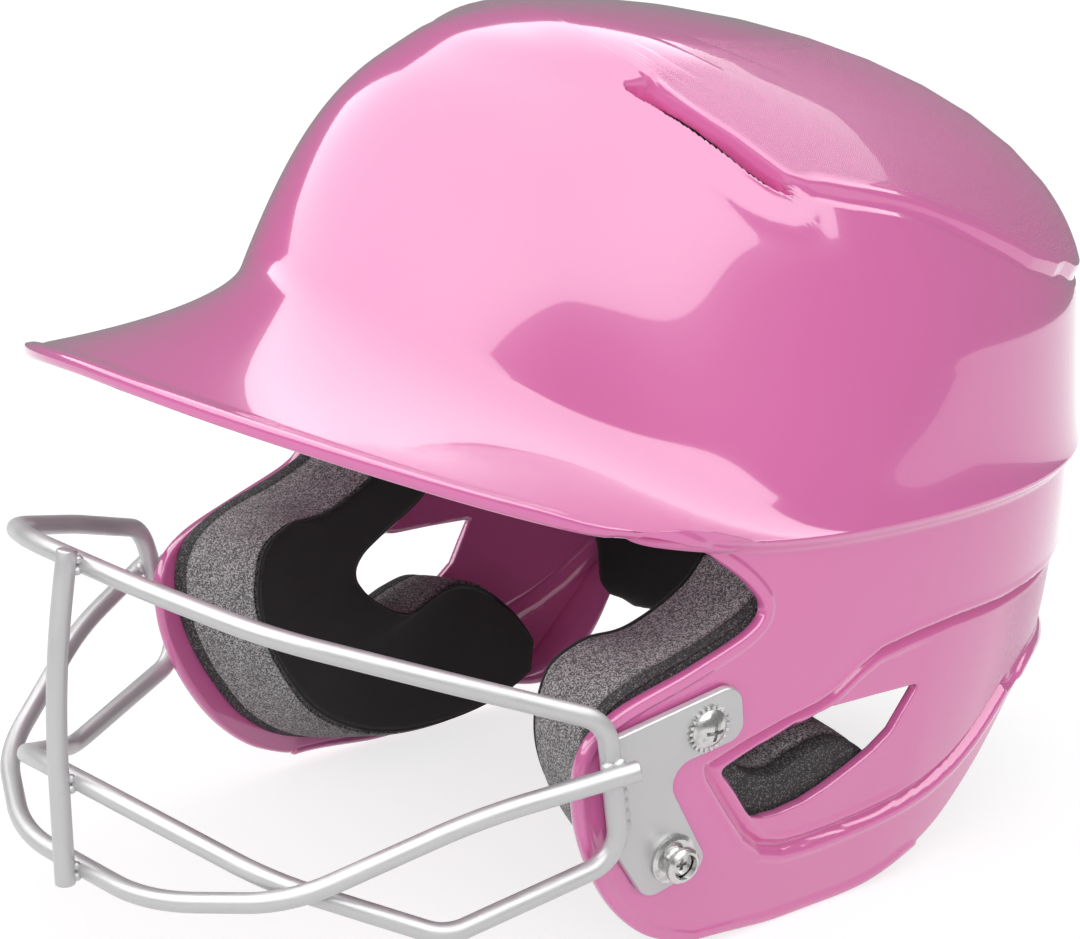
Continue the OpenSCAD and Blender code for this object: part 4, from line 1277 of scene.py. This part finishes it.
    def closed(self, outer: Array, inner: Array, faces: list[tuple[int, ...]], loops: list[list[int]]
               ) -> MeshData:
        """Joins the outer and the inner skin by rounded edges.

        Args:
            outer: points of the outer skin.
            inner: points of the inner skin, in the same order.
            faces: faces of the outer skin.
            loops: its free edges.

        Returns:
            The closed shell.
        """
        normals, count = vertex_normals(outer, faces), len(outer)
        points, solid = [outer, inner], faces + [tuple(i + count for i in reversed(f)) for f in faces]
        start = 2 * count
        for loop in loops:
            ids = np.array(loop)
            o, i = outer[ids], inner[ids]
            out = unit(np.cross(np.roll(o, -1, 0) - np.roll(o, 1, 0), normals[ids]))
            out *= self.edge_bulge if len(loop) > self.long_edge else self.hole_bulge
            steps = [(o + i) / 2 + (o - i) / 2 * math.cos(a) + out * math.sin(a)
                     for a in np.linspace(0, math.pi, self.edge_steps + 1)[1:-1]]
            between = start + np.arange(len(steps) * len(loop)).reshape(len(steps), -1)
            solid += ring_faces([ids, *between, ids + count])
            points += steps
            start += between.size
        return MeshData(np.vstack(points), solid)

    def build(self, finish: bpy.types.Material) -> bpy.types.Object:
        """Makes the shell.

        Args:
            finish: the gloss plastic.

        Returns:
            The shell, dressed.
        """
        outer, faces, bare, mask = self.sheet()
        distance = self.hole_distance(bare[:, :3])
        outer, faces, (bare, mask) = cut_sheet(outer, faces, distance, bare, mask[:, None])
        normals = vertex_normals(outer, faces)
        if np.sum(normals[:, 2] * (outer[:, 2] > 200)) < 0:
            faces, normals = [tuple(reversed(f)) for f in faces], -normals
        loops = loops_of(faces)
        outer = self.rolled(outer, normals, max(loops, key=len))
        soft = unit(smoothed(normals, faces, self.inner_rounds))
        inner = bare[:, :3] + soft * (np.minimum(bare[:, 3], 0.0) - self.form.wall)[:, None]
        solid = self.closed(outer, inner, faces, loops)
        piece = solid.to_object("helmet_shell", finish)
        self.mark(piece, solid.points, np.concatenate([mask[:, 0], np.zeros(len(solid.points) - len(mask))]))
        return dress(piece, Slot.GLOSS, "shell")

    def mark(self, piece: bpy.types.Object, points: Array, mask: Array) -> None:
        """Stores the stipple mask and an even map in millimetres on the mesh.

        Args:
            piece: the shell.
            points: its vertices in millimetres.
            mask: the mask at each vertex.
        """
        layer = piece.data.attributes.new("stipple", "FLOAT", "POINT")
        layer.data.foreach_set("value", mask.astype(np.float32))
        centre = np.array([0, self.form.mid_y - 15, 125.0])
        d = points - centre
        tilt = np.arccos(np.clip(d[:, 2] / np.linalg.norm(d, axis=1), -1, 1))
        turn = np.arctan2(d[:, 0], d[:, 1])
        top = np.stack([tilt * 118 * np.sin(turn), tilt * 118 * np.cos(turn)], 1)
        low = np.stack([turn * 120, points[:, 2]], 1)
        even = np.where((points[:, 2] > 128)[:, None], top, low).astype(np.float32)
        uv = piece.data.uv_layers.new(name="even")
        index = np.zeros(len(piece.data.loops), np.int32)
        piece.data.loops.foreach_get("vertex_index", index)
        uv.data.foreach_set("uv", even[index].ravel())


# Padding

# Roundness of a pad's sides, where 1 is an ellipse
SIDE_POW = 0.6


def slab(inner: Array, outer: Array, bulge: float, rounds: int = 4) -> MeshData:
    """Closed pad between two grids, with rounded sides.

    Args:
        inner: grid of the head side, rows by columns by 3.
        outer: grid of the shell side, of the same size.
        bulge: how far the sides stand out.
        rounds: steps down each side.

    Returns:
        The pad's mesh.
    """
    ids = np.arange(inner.shape[0] * inner.shape[1]).reshape(inner.shape[:2])
    n, faces = ids.size, grid_faces(ids)
    loop = np.concatenate([ids[0, :], ids[1:, -1], ids[-1, -2::-1], ids[-2:0:-1, 0]])
    a, b = inner.reshape(-1, 3), outer.reshape(-1, 3)
    la, lb = a[loop], b[loop]
    out = unit(np.cross(lb - la, np.roll(la, -1, 0) - np.roll(la, 1, 0)))
    middle = (la + lb) / 2
    out *= np.sign(np.sum(out * (middle - middle.mean(0)), 1).sum())
    points = [a, b]
    for t in np.linspace(0, math.pi, rounds + 2)[1:-1]:
        squash = math.copysign(abs(math.cos(t)) ** SIDE_POW, math.cos(t))
        points.append(middle + (la - lb) / 2 * squash + out * bulge * math.sin(t) ** SIDE_POW)
    between = 2 * n + np.arange(rounds * len(loop)).reshape(rounds, -1)
    sides = ring_faces([loop, *between, loop + n])
    return MeshData(np.vstack(points), faces + [tuple(i + n for i in reversed(f)) for f in faces] + sides)


def grid(nu: int, nv: int) -> tuple[Array, Array]:
    """Even shares along and across a pad, rows by columns."""
    return np.meshgrid(np.linspace(0, 1, nu), np.linspace(0, 1, nv), indexing="ij")


@dataclass(frozen=True)
class Layer:
    """One layer of a jaw pad, between two depths inside the shell."""

    name: str
    start: float
    end: float
    bulge: float
    slot: Slot
    thin_start: bool = False
    thin_end: bool = False
    inset: bool = False


@dataclass
class JawPad:
    """Jaw pad of one side: charcoal backing, whose near-black colour is partly painted shade under the
    shell's rim, speckled foam and black cover, bent round the ear.
    """

    side: Side
    backing_t: float = 4.6
    foam_t: float = 26.5
    thin: float = 5.0
    cover_t: float = 1.5
    gap: float = 0.3
    outer: tuple = ((-4, 101), (-10, 95.5), (-20, 91), (-33, 86.8), (-47, 82.3), (-57.5, 77), (-62.5, 69),
                    (-62.5, 57), (-58.5, 44), (-51.5, 31), (-42.5, 19), (-30, 10), (-13, 5), (10, 4),
                    (32, 6.5), (50, 13))
    inner: tuple = ((20, 101), (16, 92), (12, 83), (4, 77), (-6, 71.5), (-14.5, 66.5), (-18, 61), (-15.5, 54),
                    (-7, 46.5), (3, 43), (14, 46), (24, 47.5), (33, 44.5), (41, 38), (48, 30), (52.5, 22))

    def point(self, u: Array, v: Array, d: Array) -> Array:
        """Point of the pad: u across, v along, d inward from the shell.

        Args:
            u: share across, from the outer edge.
            v: share along, from the top.
            d: depth.

        Returns:
            The point.
        """
        draw = 0.09 * np.clip(d / 30, 0, 1) * ramp(v, 0.28, 0.12) * (1 - ramp(v, 0.7, 0.2))
        u = u + (1 - u) * draw
        q = lerp(pick(self.outer, v), pick(self.inner, v), u[..., None])
        z = FORM.flap_z + q[..., 1]
        return FORM.side_in(FORM.th_at(q[..., 0], z), z, d)

    def layers(self) -> list[Layer]:
        """The three layers from the shell inward.

        Returns:
            The layers.
        """
        wall = self.gap + 0.25
        foam = wall + self.backing_t
        cover = foam + self.foam_t
        # The backing layer's dark finish is partly painted shade along the shell's rim.
        return [Layer("backing", wall, foam, 0.25, Slot.BLACK),
                Layer("foam", foam, cover, 0.7, Slot.FOAM, thin_end=True),
                Layer("cover", cover, cover + self.cover_t, 0.5, Slot.BLACK, True, True, True)]

    def mesh(self, layer: Layer) -> MeshData:
        """Mesh of a layer, which thins towards the rear where it says so.

        Args:
            layer: the layer.

        Returns:
            The mesh.
        """
        u, v = grid(30, 150)
        if layer.inset:
            u, v = lerp(0.02, 0.98, u), lerp(0.006, 0.994, v)
        thin = self.thin * ramp(v, 0.5, 0.3)
        crown = 0.8 * ((1 - np.abs(2 * u - 1) ** 6) * (1 - np.abs(2 * v - 1) ** 12) - 1)
        far = self.point(u, v, layer.start - thin * layer.thin_start)
        near = self.point(u, v, layer.end + (crown - thin) * layer.thin_end)
        return slab(near, far, layer.bulge).on(self.side)

    def build(self, finishes: Finishes) -> None:
        """Makes the three layers.

        Args:
            finishes: all finishes.
        """
        word = self.side.word
        for layer, finish in zip(self.layers(), (finishes.backing, finishes.foam, finishes.fabric)):
            piece = self.mesh(layer).to_object(f"jaw_{layer.name}_{word}_pad", finish)
            dress(piece, layer.slot, f"jaw_{layer.name}_{word}")


@dataclass
class LinerPads:
    """Fabric covered foam pads under the dome and at the nape, swollen by cloth simulation."""

    voxel: float = 4.5
    cap: float = 2.6
    pressure: float = 4.0
    stiffness: float = 12.0
    frames: int = 14
    nape_wide: float = 1.1
    nape_deep: float = 1.12

    def swell(self, piece: bpy.types.Object) -> None:
        """Puffs a pad's cover by cloth simulation under pressure, and keeps it off the shell.

        Args:
            piece: the pad, which is remeshed and keeps the result.
        """
        remesh = piece.modifiers.new("skin", "REMESH")
        remesh.mode = "VOXEL"
        remesh.voxel_size = self.voxel * MM
        apply_modifiers(piece)
        self.inflate(piece)
        fine = piece.modifiers.new("fine", "SUBSURF")
        fine.levels = fine.render_levels = 1
        apply_modifiers(piece)
        piece.data.polygons.foreach_set("use_smooth", [True] * len(piece.data.polygons))

    def inflate(self, piece: bpy.types.Object) -> None:
        """Runs the cloth simulation, and keeps what it moves inward, up to a cap.

        Args:
            piece: the pad.
        """
        rest = np.array([v.co for v in piece.data.vertices])
        settings = piece.modifiers.new("cover", "CLOTH").settings
        settings.use_pressure = True
        settings.uniform_pressure_force = self.pressure
        settings.effector_weights.gravity = 0.0
        settings.quality = 4
        settings.tension_stiffness = settings.compression_stiffness = self.stiffness
        scene = bpy.context.scene
        for frame in range(1, self.frames + 1):
            scene.frame_set(frame)
        apply_modifiers(piece)
        moved = np.array([v.co for v in piece.data.vertices]) - rest
        centre = (np.array([0, FORM.mid_y - 15, 110]) + PLACED) * MM
        out = unit(rest - centre)
        moved -= out * np.maximum(0, np.sum(moved * out, 1, keepdims=True))
        size = np.linalg.norm(moved, axis=1, keepdims=True)
        moved *= np.minimum(1, self.cap * MM / np.maximum(size, 1e-9))
        piece.data.vertices.foreach_set("co", (rest + moved).astype(np.float32).ravel())
        scene.frame_set(1)

    def widen(self, mesh: bpy.types.Mesh) -> None:
        """Lets the nape pad reach further round and down, along the shell's wall.

        Args:
            mesh: the pad's mesh, which is changed.
        """
        p = np.array([v.co for v in mesh.vertices]) / MM - PLACED
        th, z = np.degrees(np.arctan2(p[:, 0], FORM.mid_y - p[:, 1])) % 360, p[:, 2]
        th2, z2 = 180 + (th - 180) * self.nape_wide, z.max() - (z.max() - z) * self.nape_deep
        r = np.hypot(p[:, 0], p[:, 1] - FORM.mid_y) * FORM.flap_rz(th2, z2) / FORM.flap_rz(th, z)
        p = (FORM.polar(th2, r, z2) + PLACED) * MM
        mesh.vertices.foreach_set("co", p.astype(np.float32).ravel())

    def build(self, frame: dict, finishes: Finishes) -> None:
        """Makes every liner pad from its CAD solid.

        Args:
            finishes: all finishes.
        """
        for node in ("crown_pad", "brow_pad", "temple_pad_left", "temple_pad_right", "back_pad", "nape_pad"):
            mesh = frame["nodes"][node].data.copy()
            mesh.name = f"{node}_cushion"
            mesh.materials.clear()
            mesh.materials.append(finishes.fabric)
            if node == "nape_pad":
                self.widen(mesh)
            piece = put(mesh.name, mesh)
            self.swell(piece)
            dress(piece, Slot.BLACK, node)


# Face mask

def bend_at(p: Array, r: Sequence[float], i: int) -> list[Array]:
    """Points of the bend at corner i of a wire's route.

    Args:
        p: corners of the route.
        r: bend radius at each corner.
        i: the corner.

    Returns:
        Points round the bend, close together.
    """
    n = len(p)
    a, b, c = p[i - 1], p[i], p[(i + 1) % n]
    u, v = unit(b - a), unit(c - b)
    angle = math.acos(max(-1.0, min(1.0, float(u @ v))))
    tang = r[i] * math.tan(angle / 2)
    start = b - u * tang
    toward = unit(v - (v @ u) * u)
    centre = start + toward * r[i]
    steps = max(3, int(angle * r[i] / 1.6))
    return [centre - toward * r[i] * math.cos(t) + u * r[i] * math.sin(t)
            for t in np.linspace(0, angle, steps + 1)]


def route(p: Array, r: Sequence[float], closed: bool) -> Array:
    """Centre line of a bent wire, from its corners and bend radii."""
    out = []
    for i in range(len(p)):
        out += [p[i]] if not closed and i in (0, len(p) - 1) else bend_at(p, r, i)
    return np.array(out)


# Rounding of a wire's end: how far from the tip, as a share of the rounding, and the share of the radius
WIRE_TIP = ((-1.0, 1.0), (-0.5, 0.97), (-0.12, 0.85), (0.0, 0.6))


def tube(line: Array, radius: float, closed: bool, sides: int = 28, dome: float = 0.6) -> MeshData:
    """Round wire along a line.

    Args:
        line: its centre line.
        radius: its radius.
        closed: whether it runs back into its start.
        sides: faces round it.
        dome: how far its ends are rounded off.

    Returns:
        The wire's mesh.
    """
    pts = [line[0]]
    for a, b in zip(line, np.roll(line, -1, 0)) if closed else zip(line[:-1], line[1:]):
        steps = max(1, int(np.linalg.norm(b - a) / 4))
        pts += [lerp(a, b, s / steps) for s in range(1, steps + 1)]
    pts = pts[:-1] if closed else pts
    sizes = [1.0] * len(pts)
    for _ in range(0 if closed else 2):
        out = unit(pts[-1] - pts[-2])
        pts = (pts[:-1] + [pts[-1] + out * dome * far for far, _ in WIRE_TIP])[::-1]
        sizes = (sizes[:-1] + [size for _, size in WIRE_TIP])[::-1]
    pts, n = np.array(pts), len(pts)
    tang = unit(np.roll(pts, -1, 0) - np.roll(pts, 1, 0) if closed else np.gradient(pts, axis=0))
    side, frames = unit(np.cross(tang[0], [0.3, 0.2, 0.93])), []
    for way in tang:
        side = unit(side - (side @ way) * way)
        frames.append(side)
    frames, twist = np.array(frames), 0.0
    other = np.cross(tang, frames)
    if closed:
        end = unit(frames[-1] - (frames[-1] @ tang[0]) * tang[0])
        twist = math.atan2(float(np.cross(end, frames[0]) @ tang[0]), float(end @ frames[0]))
    turn = np.linspace(0, 2 * math.pi, sides, endpoint=False) + twist * np.arange(n)[:, None] / n
    round_it = np.cos(turn)[..., None] * frames[:, None] + np.sin(turn)[..., None] * other[:, None]
    points = pts[:, None] + radius * np.array(sizes)[:, None, None] * round_it
    ids = np.arange(n * sides).reshape(n, sides)
    faces = ring_faces([*ids, ids[0]] if closed else list(ids), flip=True)
    if not closed:
        faces += [tuple(ids[0, ::-1].tolist()), tuple(ids[-1].tolist())]
    return MeshData(points.reshape(-1, 3), faces)


def bead(p: Array, size: float, way: Array, rows: int = 10, sides: int = 16) -> MeshData:
    """Rounded, slightly uneven weld bead that is longer along one direction.

    Args:
        p: its middle.
        size: its radius across.
        way: the direction that it is longer along.
        rows: steps from end to end.
        sides: faces round it.

    Returns:
        The bead's mesh.
    """
    rng = np.random.default_rng(int(abs(p[0] * 31 + p[1] * 17 + p[2] * 7)) + 5)
    wobble = 1 + 0.05 * rng.standard_normal((rows - 1, sides))
    side = unit(np.cross(way, [0.21, 0.37, 0.9]))
    down = math.pi * np.arange(1, rows) / rows
    turn = 2 * math.pi * np.arange(sides)[:, None] / sides
    round_it = side * np.cos(turn) + np.cross(way, side) * np.sin(turn)
    tip = way * size * 1.15
    wide = size * np.sin(down)[:, None] * wobble
    rings = p + tip * np.cos(down)[:, None, None] + wide[..., None] * round_it
    points = np.vstack([p + tip, rings.reshape(-1, 3), p - tip])
    ids = 1 + np.arange((rows - 1) * sides).reshape(-1, sides)
    first, last = ids[0].tolist(), ids[-1].tolist()
    faces = ring_faces(list(ids)) + list(zip([0] * sides, first, first[1:] + first[:1]))
    return MeshData(points, faces + list(zip([len(points) - 1] * sides, last[1:] + last[:1], last)))


@dataclass
class FaceMask:
    """Welded wire mask: frame loop, lower wire, centre bar, weld fillets and side plates."""

    wire_d: float = 5.5
    reach: float = 152.0
    brow_z: float = 119.0
    chin_z: float = 61.0
    low_z: float = 36.5
    knee_z: float = 88.0
    knee_r: float = 260.0
    over: float = 3.5
    slop: float = 0.05
    cross_share: float = 0.32
    upright_top: tuple[float, float] = (-32.6, 29.5)
    upright_low: tuple[float, float] = (-24.0, -11.5)
    seam_at: tuple = (0.48, 0.56, 0.64, 0.72, 0.8)
    seam_bead: float = 2.1
    end_bead: float = 1.7
    bar_bead: float = 1.2
    plate_shape: tuple = ((-30.5, 20.8, 2.5), (13.6, 29, 6), (16.6, 12.4, 4.8), (-9.6, 8.1, 6),
                          (8.9, -23.6, 4.2), (-11.5, -29.3, 6), (-24, -11, 8.4))

    def at(self, x: float, back: float, z: float) -> Array:
        """Point of the mask behind its foremost reach."""
        return np.array([x, back - self.reach, z], float)

    def mirrored(self, half: Sequence[Array]) -> Array:
        """Corners of one half, then of the other in reverse."""
        return np.array(list(half) + [p * np.array([-1, 1, 1]) for p in reversed(half)])

    def __post_init__(self) -> None:
        """Works out the routes of the wires from the sizes."""
        w = PLATE.thick + self.wire_d / 2 + self.slop
        self.top = PLATE.at(*self.upright_top, w)
        self.low = PLATE.at(*self.upright_low, w)
        self.loop_half = [self.at(26, 0, self.brow_z), self.at(60, 15, self.brow_z - 7.5),
                          self.at(86, 51, self.brow_z - 20.5), self.top, self.low,
                          self.at(87, 48, self.chin_z - 29.5), self.at(58, 15, self.chin_z - 15),
                          self.at(24, -4.6, self.chin_z)]
        self.loop_bends = [60, 50, 90, 10, 10, 14, 70, 68]
        self.touch = self.wire_d + self.slop / 2
        self.upright = unit(self.low - self.top)
        turn = self.at(93, 55, self.low_z + 27.5)
        self.cross = lerp(self.top, self.low, self.cross_share)
        over = self.cross
        for _ in range(2):
            over = self.cross + unit(np.cross(turn - over, self.upright)) * self.touch
        self.over_pt = over
        self.over_dir = unit(over - turn)
        self.lower_half = [over + self.over_dir * (self.wire_d / 2 + self.over), turn,
                           self.at(67, 14, self.low_z + 7), self.at(30, -4.1, self.low_z)]
        self.lower_bends = [0, 120, 42, 60]
        brow, chin, low = self.loop_half[0], self.loop_half[7], self.lower_half[3]
        line = unit(np.array([0, low[1] - chin[1], self.low_z - self.chin_z]))
        front = np.array([0, line[2], -line[1]])
        bar_chin = np.array([0, chin[1], self.chin_z]) + front * self.touch
        bar_low = np.array([0, low[1], self.low_z]) + front * self.touch
        knee = lerp(bar_chin, bar_low, (self.knee_z - bar_chin[2]) / (bar_low[2] - bar_chin[2]))
        to_brow = np.array([0, brow[1], self.brow_z]) - knee
        size = float(np.linalg.norm(to_brow))
        lean = math.atan2(to_brow[1], to_brow[2]) - math.asin(self.touch / size)
        top = knee + np.array([0, math.sin(lean), math.cos(lean)]) * (size + self.over)
        self.bar = np.array([top, knee, bar_low + line * self.over])
        up = unit(top - knee)
        self.joints = [(np.array([0, brow[1], self.brow_z]), up),
                       (np.array([0, chin[1], self.chin_z]), -line),
                       (np.array([0, low[1], self.low_z]), -line)]

    def wires(self, paint: bpy.types.Material) -> None:
        """Makes the three wires.

        Args:
            paint: the finish of the mask.
        """
        r = self.wire_d / 2
        loop = route(self.mirrored(self.loop_half), self.loop_bends + self.loop_bends[::-1], True)
        lower = route(self.mirrored(self.lower_half), self.lower_bends + self.lower_bends[::-1], False)
        bar = route(self.bar, [0, self.knee_r, 0], False)
        for name, line, closed in (("frame_loop", loop, True), ("lower_wire", lower, False),
                                   ("centre_bar", bar, False)):
            dress(tube(line, r, closed).to_object(f"{name}_tube", paint, 50), Slot.MASK, name)

    def fillets(self, paint: bpy.types.Material) -> None:
        """Makes the soft weld fillets where wires cross and where the uprights meet their plates.

        Args:
            paint: the finish of the mask.
        """
        seam = [lerp(np.array(self.upright_top), np.array(self.upright_low), t) for t in self.seam_at]
        beads = [bead(PLATE.at(r + self.wire_d / 2 + 0.5, v, PLATE.thick + 0.9), self.seam_bead, self.upright)
                 for r, v in seam]
        beads += self.star((self.cross + self.over_pt) / 2, self.upright, self.over_dir, 1.5, self.end_bead)
        beads.append(joined(beads).mirrored())
        across = np.array([1.0, 0, 0])
        for wire_at, d in self.joints:
            contact = wire_at + np.cross(across, d) * self.touch / 2
            beads += self.star(contact, across, d, 1.4, self.bar_bead)
        dress(joined(beads).to_object("weld_fillets", paint), Slot.MASK, "weld_beads")

    def star(self, middle: Array, one: Array, other: Array, out: float, size: float) -> list[MeshData]:
        """Four beads in the quarters where two wires cross.

        Args:
            middle: the point where they touch.
            one: direction of the first wire.
            other: direction of the second wire.
            out: how far out the beads sit.
            size: their radius.

        Returns:
            The beads.
        """
        ways = [s * one + t * other for s, t in product((-1, 1), repeat=2)]
        return [bead(middle + out * way, size, unit(way)) for way in ways]

    def plate_outline(self) -> Array:
        """Outline of a side plate in its own plane, with rounded corners, counter-clockwise.

        Returns:
            The outline's points.
        """
        shape = np.array(self.plate_shape)
        corners, pts = shape[:, :2], []
        for a, b, c, rad in zip(np.roll(corners, 1, 0), corners, np.roll(corners, -1, 0), shape[:, 2]):
            u, v = unit(a - b), unit(c - b)
            half = math.acos(float(u @ v)) / 2
            m = b + unit(u + v) * rad / math.sin(half)
            s, e = b + u * rad / math.tan(half) - m, b + v * rad / math.tan(half) - m
            pts += [m + rad * unit(lerp(s, e, k / 9)) for k in range(10)]
        outline = np.array(pts)
        ahead = np.roll(outline, -1, 0)
        area = np.sum(outline[:, 0] * ahead[:, 1] - ahead[:, 0] * outline[:, 1])
        return outline if area > 0 else outline[::-1]

    def plate(self, side: Side, paint: bpy.types.Material) -> None:
        """Makes a side plate with its outer edge rounded over.

        Args:
            side: the side of the helmet.
            paint: the finish of the mask.
        """
        outline = self.plate_outline()
        o, x, v, w = PLATE.axes()
        t, edge = PLATE.thick, np.roll(outline, -1, 0) - np.roll(outline, 1, 0)
        inward = unit(np.stack([-edge[:, 1], edge[:, 0]], 1))
        rings = []
        for inset, height in ((0.0, 0.0), (0.0, t - 0.7), (0.09, t - 0.42), (0.32, t - 0.14), (0.75, t)):
            q = outline + inward * inset
            rings.append(o + np.outer(q[:, 0], x) + np.outer(q[:, 1], v) + height * w)
        ids = np.arange(len(rings) * len(outline)).reshape(len(rings), -1)
        faces = ring_faces(list(ids), flip=True) + [tuple(ids[-1].tolist()), tuple(ids[0, ::-1].tolist())]
        piece = MeshData(np.vstack(rings), faces).on(side).to_object(f"side_plate_{side.word}", paint, 30)
        dress(piece, Slot.MASK, f"plate_{side.word}")

    def build(self, finishes: Finishes) -> None:
        """Makes the whole mask."""
        self.wires(finishes.mask)
        self.fillets(finishes.mask)
        for side in Side:
            self.plate(side, finishes.mask)


# Stage

@dataclass
class Stage:
    """Camera at the photograph's place, pale floor and soft studio light."""

    target: tuple[float, float, float] = (0.0, -0.004995, 0.109869)
    azimuth: float = 50.0
    elevation: float = 16.5
    distance: float = 0.95
    lens: float = 111.67
    sensor: float = 36.0
    world: float = 0.6
    floor_half: float = 6.0
    floor_glow: float = 1.5
    card_height: float = 1.15
    card_glow: float = 4.0
    room_glow: float = 0.28
    screen_r: float = 0.85
    card: tuple = ((1.75, 0.28), (1.75, -3.2), (-2.8, -3.2), (-2.8, -1.35), (-1.75, -0.12), (-0.72, 0.0),
                   (-0.6, 0.95), (-0.2, 1.3), (0.6, 1.2), (1.15, 0.4))

    def back(self) -> Vector:
        """Direction from the target to the camera."""
        a, e = math.radians(self.azimuth), math.radians(self.elevation)
        return Vector((math.sin(a) * math.cos(e), -math.cos(a) * math.cos(e), math.sin(e)))

    def camera(self) -> None:
        """Makes the camera and gives it to the scene."""
        data = bpy.data.cameras.new("view")
        data.lens, data.sensor_width = self.lens, self.sensor
        data.clip_start, data.clip_end = 0.05, 30
        cam = put("view", data)
        cam.location = Vector(self.target) + self.back() * self.distance
        cam.rotation_mode = "QUATERNION"
        cam.rotation_quaternion = (-self.back()).to_track_quat("-Z", "Y")
        bpy.context.scene.camera = cam

    def floor(self) -> None:
        """Makes the pale floor, which takes shadow and looks white to the camera, gloss and glass."""
        mesh = bpy.data.meshes.new("floor")
        r, z = self.floor_half, -0.0005
        mesh.from_pydata([(-r, -r, z), (r, -r, z), (r, r, z), (-r, r, z)], [], [(0, 1, 2, 3)])
        s = Shader.named("pale_floor")
        plain = s.node("ShaderNodeBsdfDiffuse", None, {"Color": (0.9, 0.9, 0.9, 1)})
        light = s.node("ShaderNodeEmission", None, {"Color": (1, 1, 1, 1), "Strength": self.floor_glow})
        mixed = s.node("ShaderNodeMixShader", None,
                       {0: s.seen_bright() * 0.5, 1: plain.outputs[0], 2: light.outputs[0]})
        mesh.materials.append(s.surface(mixed.outputs[0]))
        put("floor", mesh)

    def lamp(self, name: str, way: Sequence[float], away: float, size: tuple[float, float], power: float
             ) -> None:
        """Adds a softbox.

        Args:
            name: its name.
            way: direction from the helmet, as right, up and towards the camera.
            away: its distance in metres.
            size: width and height in metres.
            power: watts.
        """
        data = bpy.data.lights.new(name, "AREA")
        data.shape = "RECTANGLE"
        data.size, data.size_y = size
        data.energy = power
        back = self.back()
        a = math.radians(self.azimuth)
        right = Vector((math.cos(a), math.sin(a), 0))
        up = back.cross(right)
        d = (right * way[0] + up * way[1] + back * way[2]).normalized()
        lamp = put(name, data)
        lamp.visible_glossy = False
        lamp.location = Vector(self.target) + d * away
        lamp.rotation_mode = "QUATERNION"
        lamp.rotation_quaternion = (-d).to_track_quat("-Z", "Y")

    def reflected(self, name: str, points: Sequence[Sequence[float]], faces: Sequence[Sequence[int]],
                  strength: float) -> None:
        """Adds a card that only gloss reflects.

        Args:
            name: its name.
            points: its corners, in metres.
            faces: its faces.
            strength: brightness, where 1 is white.
        """
        mesh = bpy.data.meshes.new(name)
        mesh.from_pydata([tuple(p) for p in points], [], [tuple(f) for f in faces])
        s = Shader.named(name)
        glow = s.node("ShaderNodeEmission", None, {"Color": (1, 1, 1, 1), "Strength": strength})
        mesh.materials.append(s.surface(glow.outputs[0]))
        card = put(name, mesh)
        card.visible_camera = card.visible_diffuse = card.visible_transmission = card.visible_shadow = False

    def cards(self) -> None:
        """Makes the softbox over the helmet and the dim room round it, as gloss reflects them."""
        h = self.card_height
        outline = [(x * h, y * h, h + self.target[2]) for x, y in self.card]
        self.reflected("overhead_softbox", outline, [tuple(range(len(outline)))], self.card_glow)
        n, r = 48, 4.6
        ring = [(r * math.cos(a), r * math.sin(a)) for a in np.linspace(0, 2 * math.pi, n, endpoint=False)]
        points = [(x, y, z) for z in (-0.3, 3.0) for x, y in ring] + [(0, 0, 4.2)]
        band = [(k, (k + 1) % n, n + (k + 1) % n, n + k) for k in range(n)]
        faces = band + [(n + k, n + (k + 1) % n, 2 * n) for k in range(n)]
        self.reflected("dim_room", points, faces, self.room_glow)
        low = [(x / r * self.screen_r, y / r * self.screen_r, z) for z in (0.001, 0.24) for x, y in ring]
        self.reflected("dim_screen", low, band, self.room_glow)

    def lights(self) -> None:
        """Makes the world and the softboxes."""
        world = bpy.data.worlds.new("studio")
        bpy.context.scene.world = world
        s = Shader(world)
        inputs = {"Color": (1, 1, 1, 1), "Strength": s.seen_bright() * (1 - self.world) + self.world}
        background = s.node("ShaderNodeBackground", None, inputs)
        s.node("ShaderNodeOutputWorld", None, {0: background.outputs[0]})
        self.lamp("over", (-0.25, 0.86, 0.45), 1.5, (2.2, 1.8), 3.0)
        self.lamp("left", (-0.9, 0.25, 0.35), 1.7, (0.9, 1.4), 2.2)
        self.lamp("front", (0.05, 0.12, 1.0), 1.5, (1.3, 1.1), 5.2)

    def build(self) -> None:
        """Makes camera, floor and light."""
        self.camera()
        self.floor()
        self.cards()
        self.lights()
        bpy.context.scene.view_settings.view_transform = "Standard"


def corners(box: tuple[Vector, Vector]) -> list[list[float]]:
    """A box as plain lists of numbers."""
    return [[float(x) for x in corner] for corner in box]


def main() -> None:
    """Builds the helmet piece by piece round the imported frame."""
    logging.basicConfig(level=logging.INFO, format="%(name)s: %(message)s")
    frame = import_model()
    Stage().build()
    finishes = Finishes.make()
    Shell().build(finishes.gloss)
    for side in Side:
        JawPad(side).build(finishes)
    LinerPads().build(frame, finishes)
    FaceMask().build(finishes)
    for node in ("truss_screws", "toothed_washers", "snap_studs", "stud_screws", "tee_nuts"):
        piece = frame["nodes"][node]
        piece.data.materials.clear()
        piece.data.materials.append(finishes.steel)


if __name__ == "__main__":
    main()
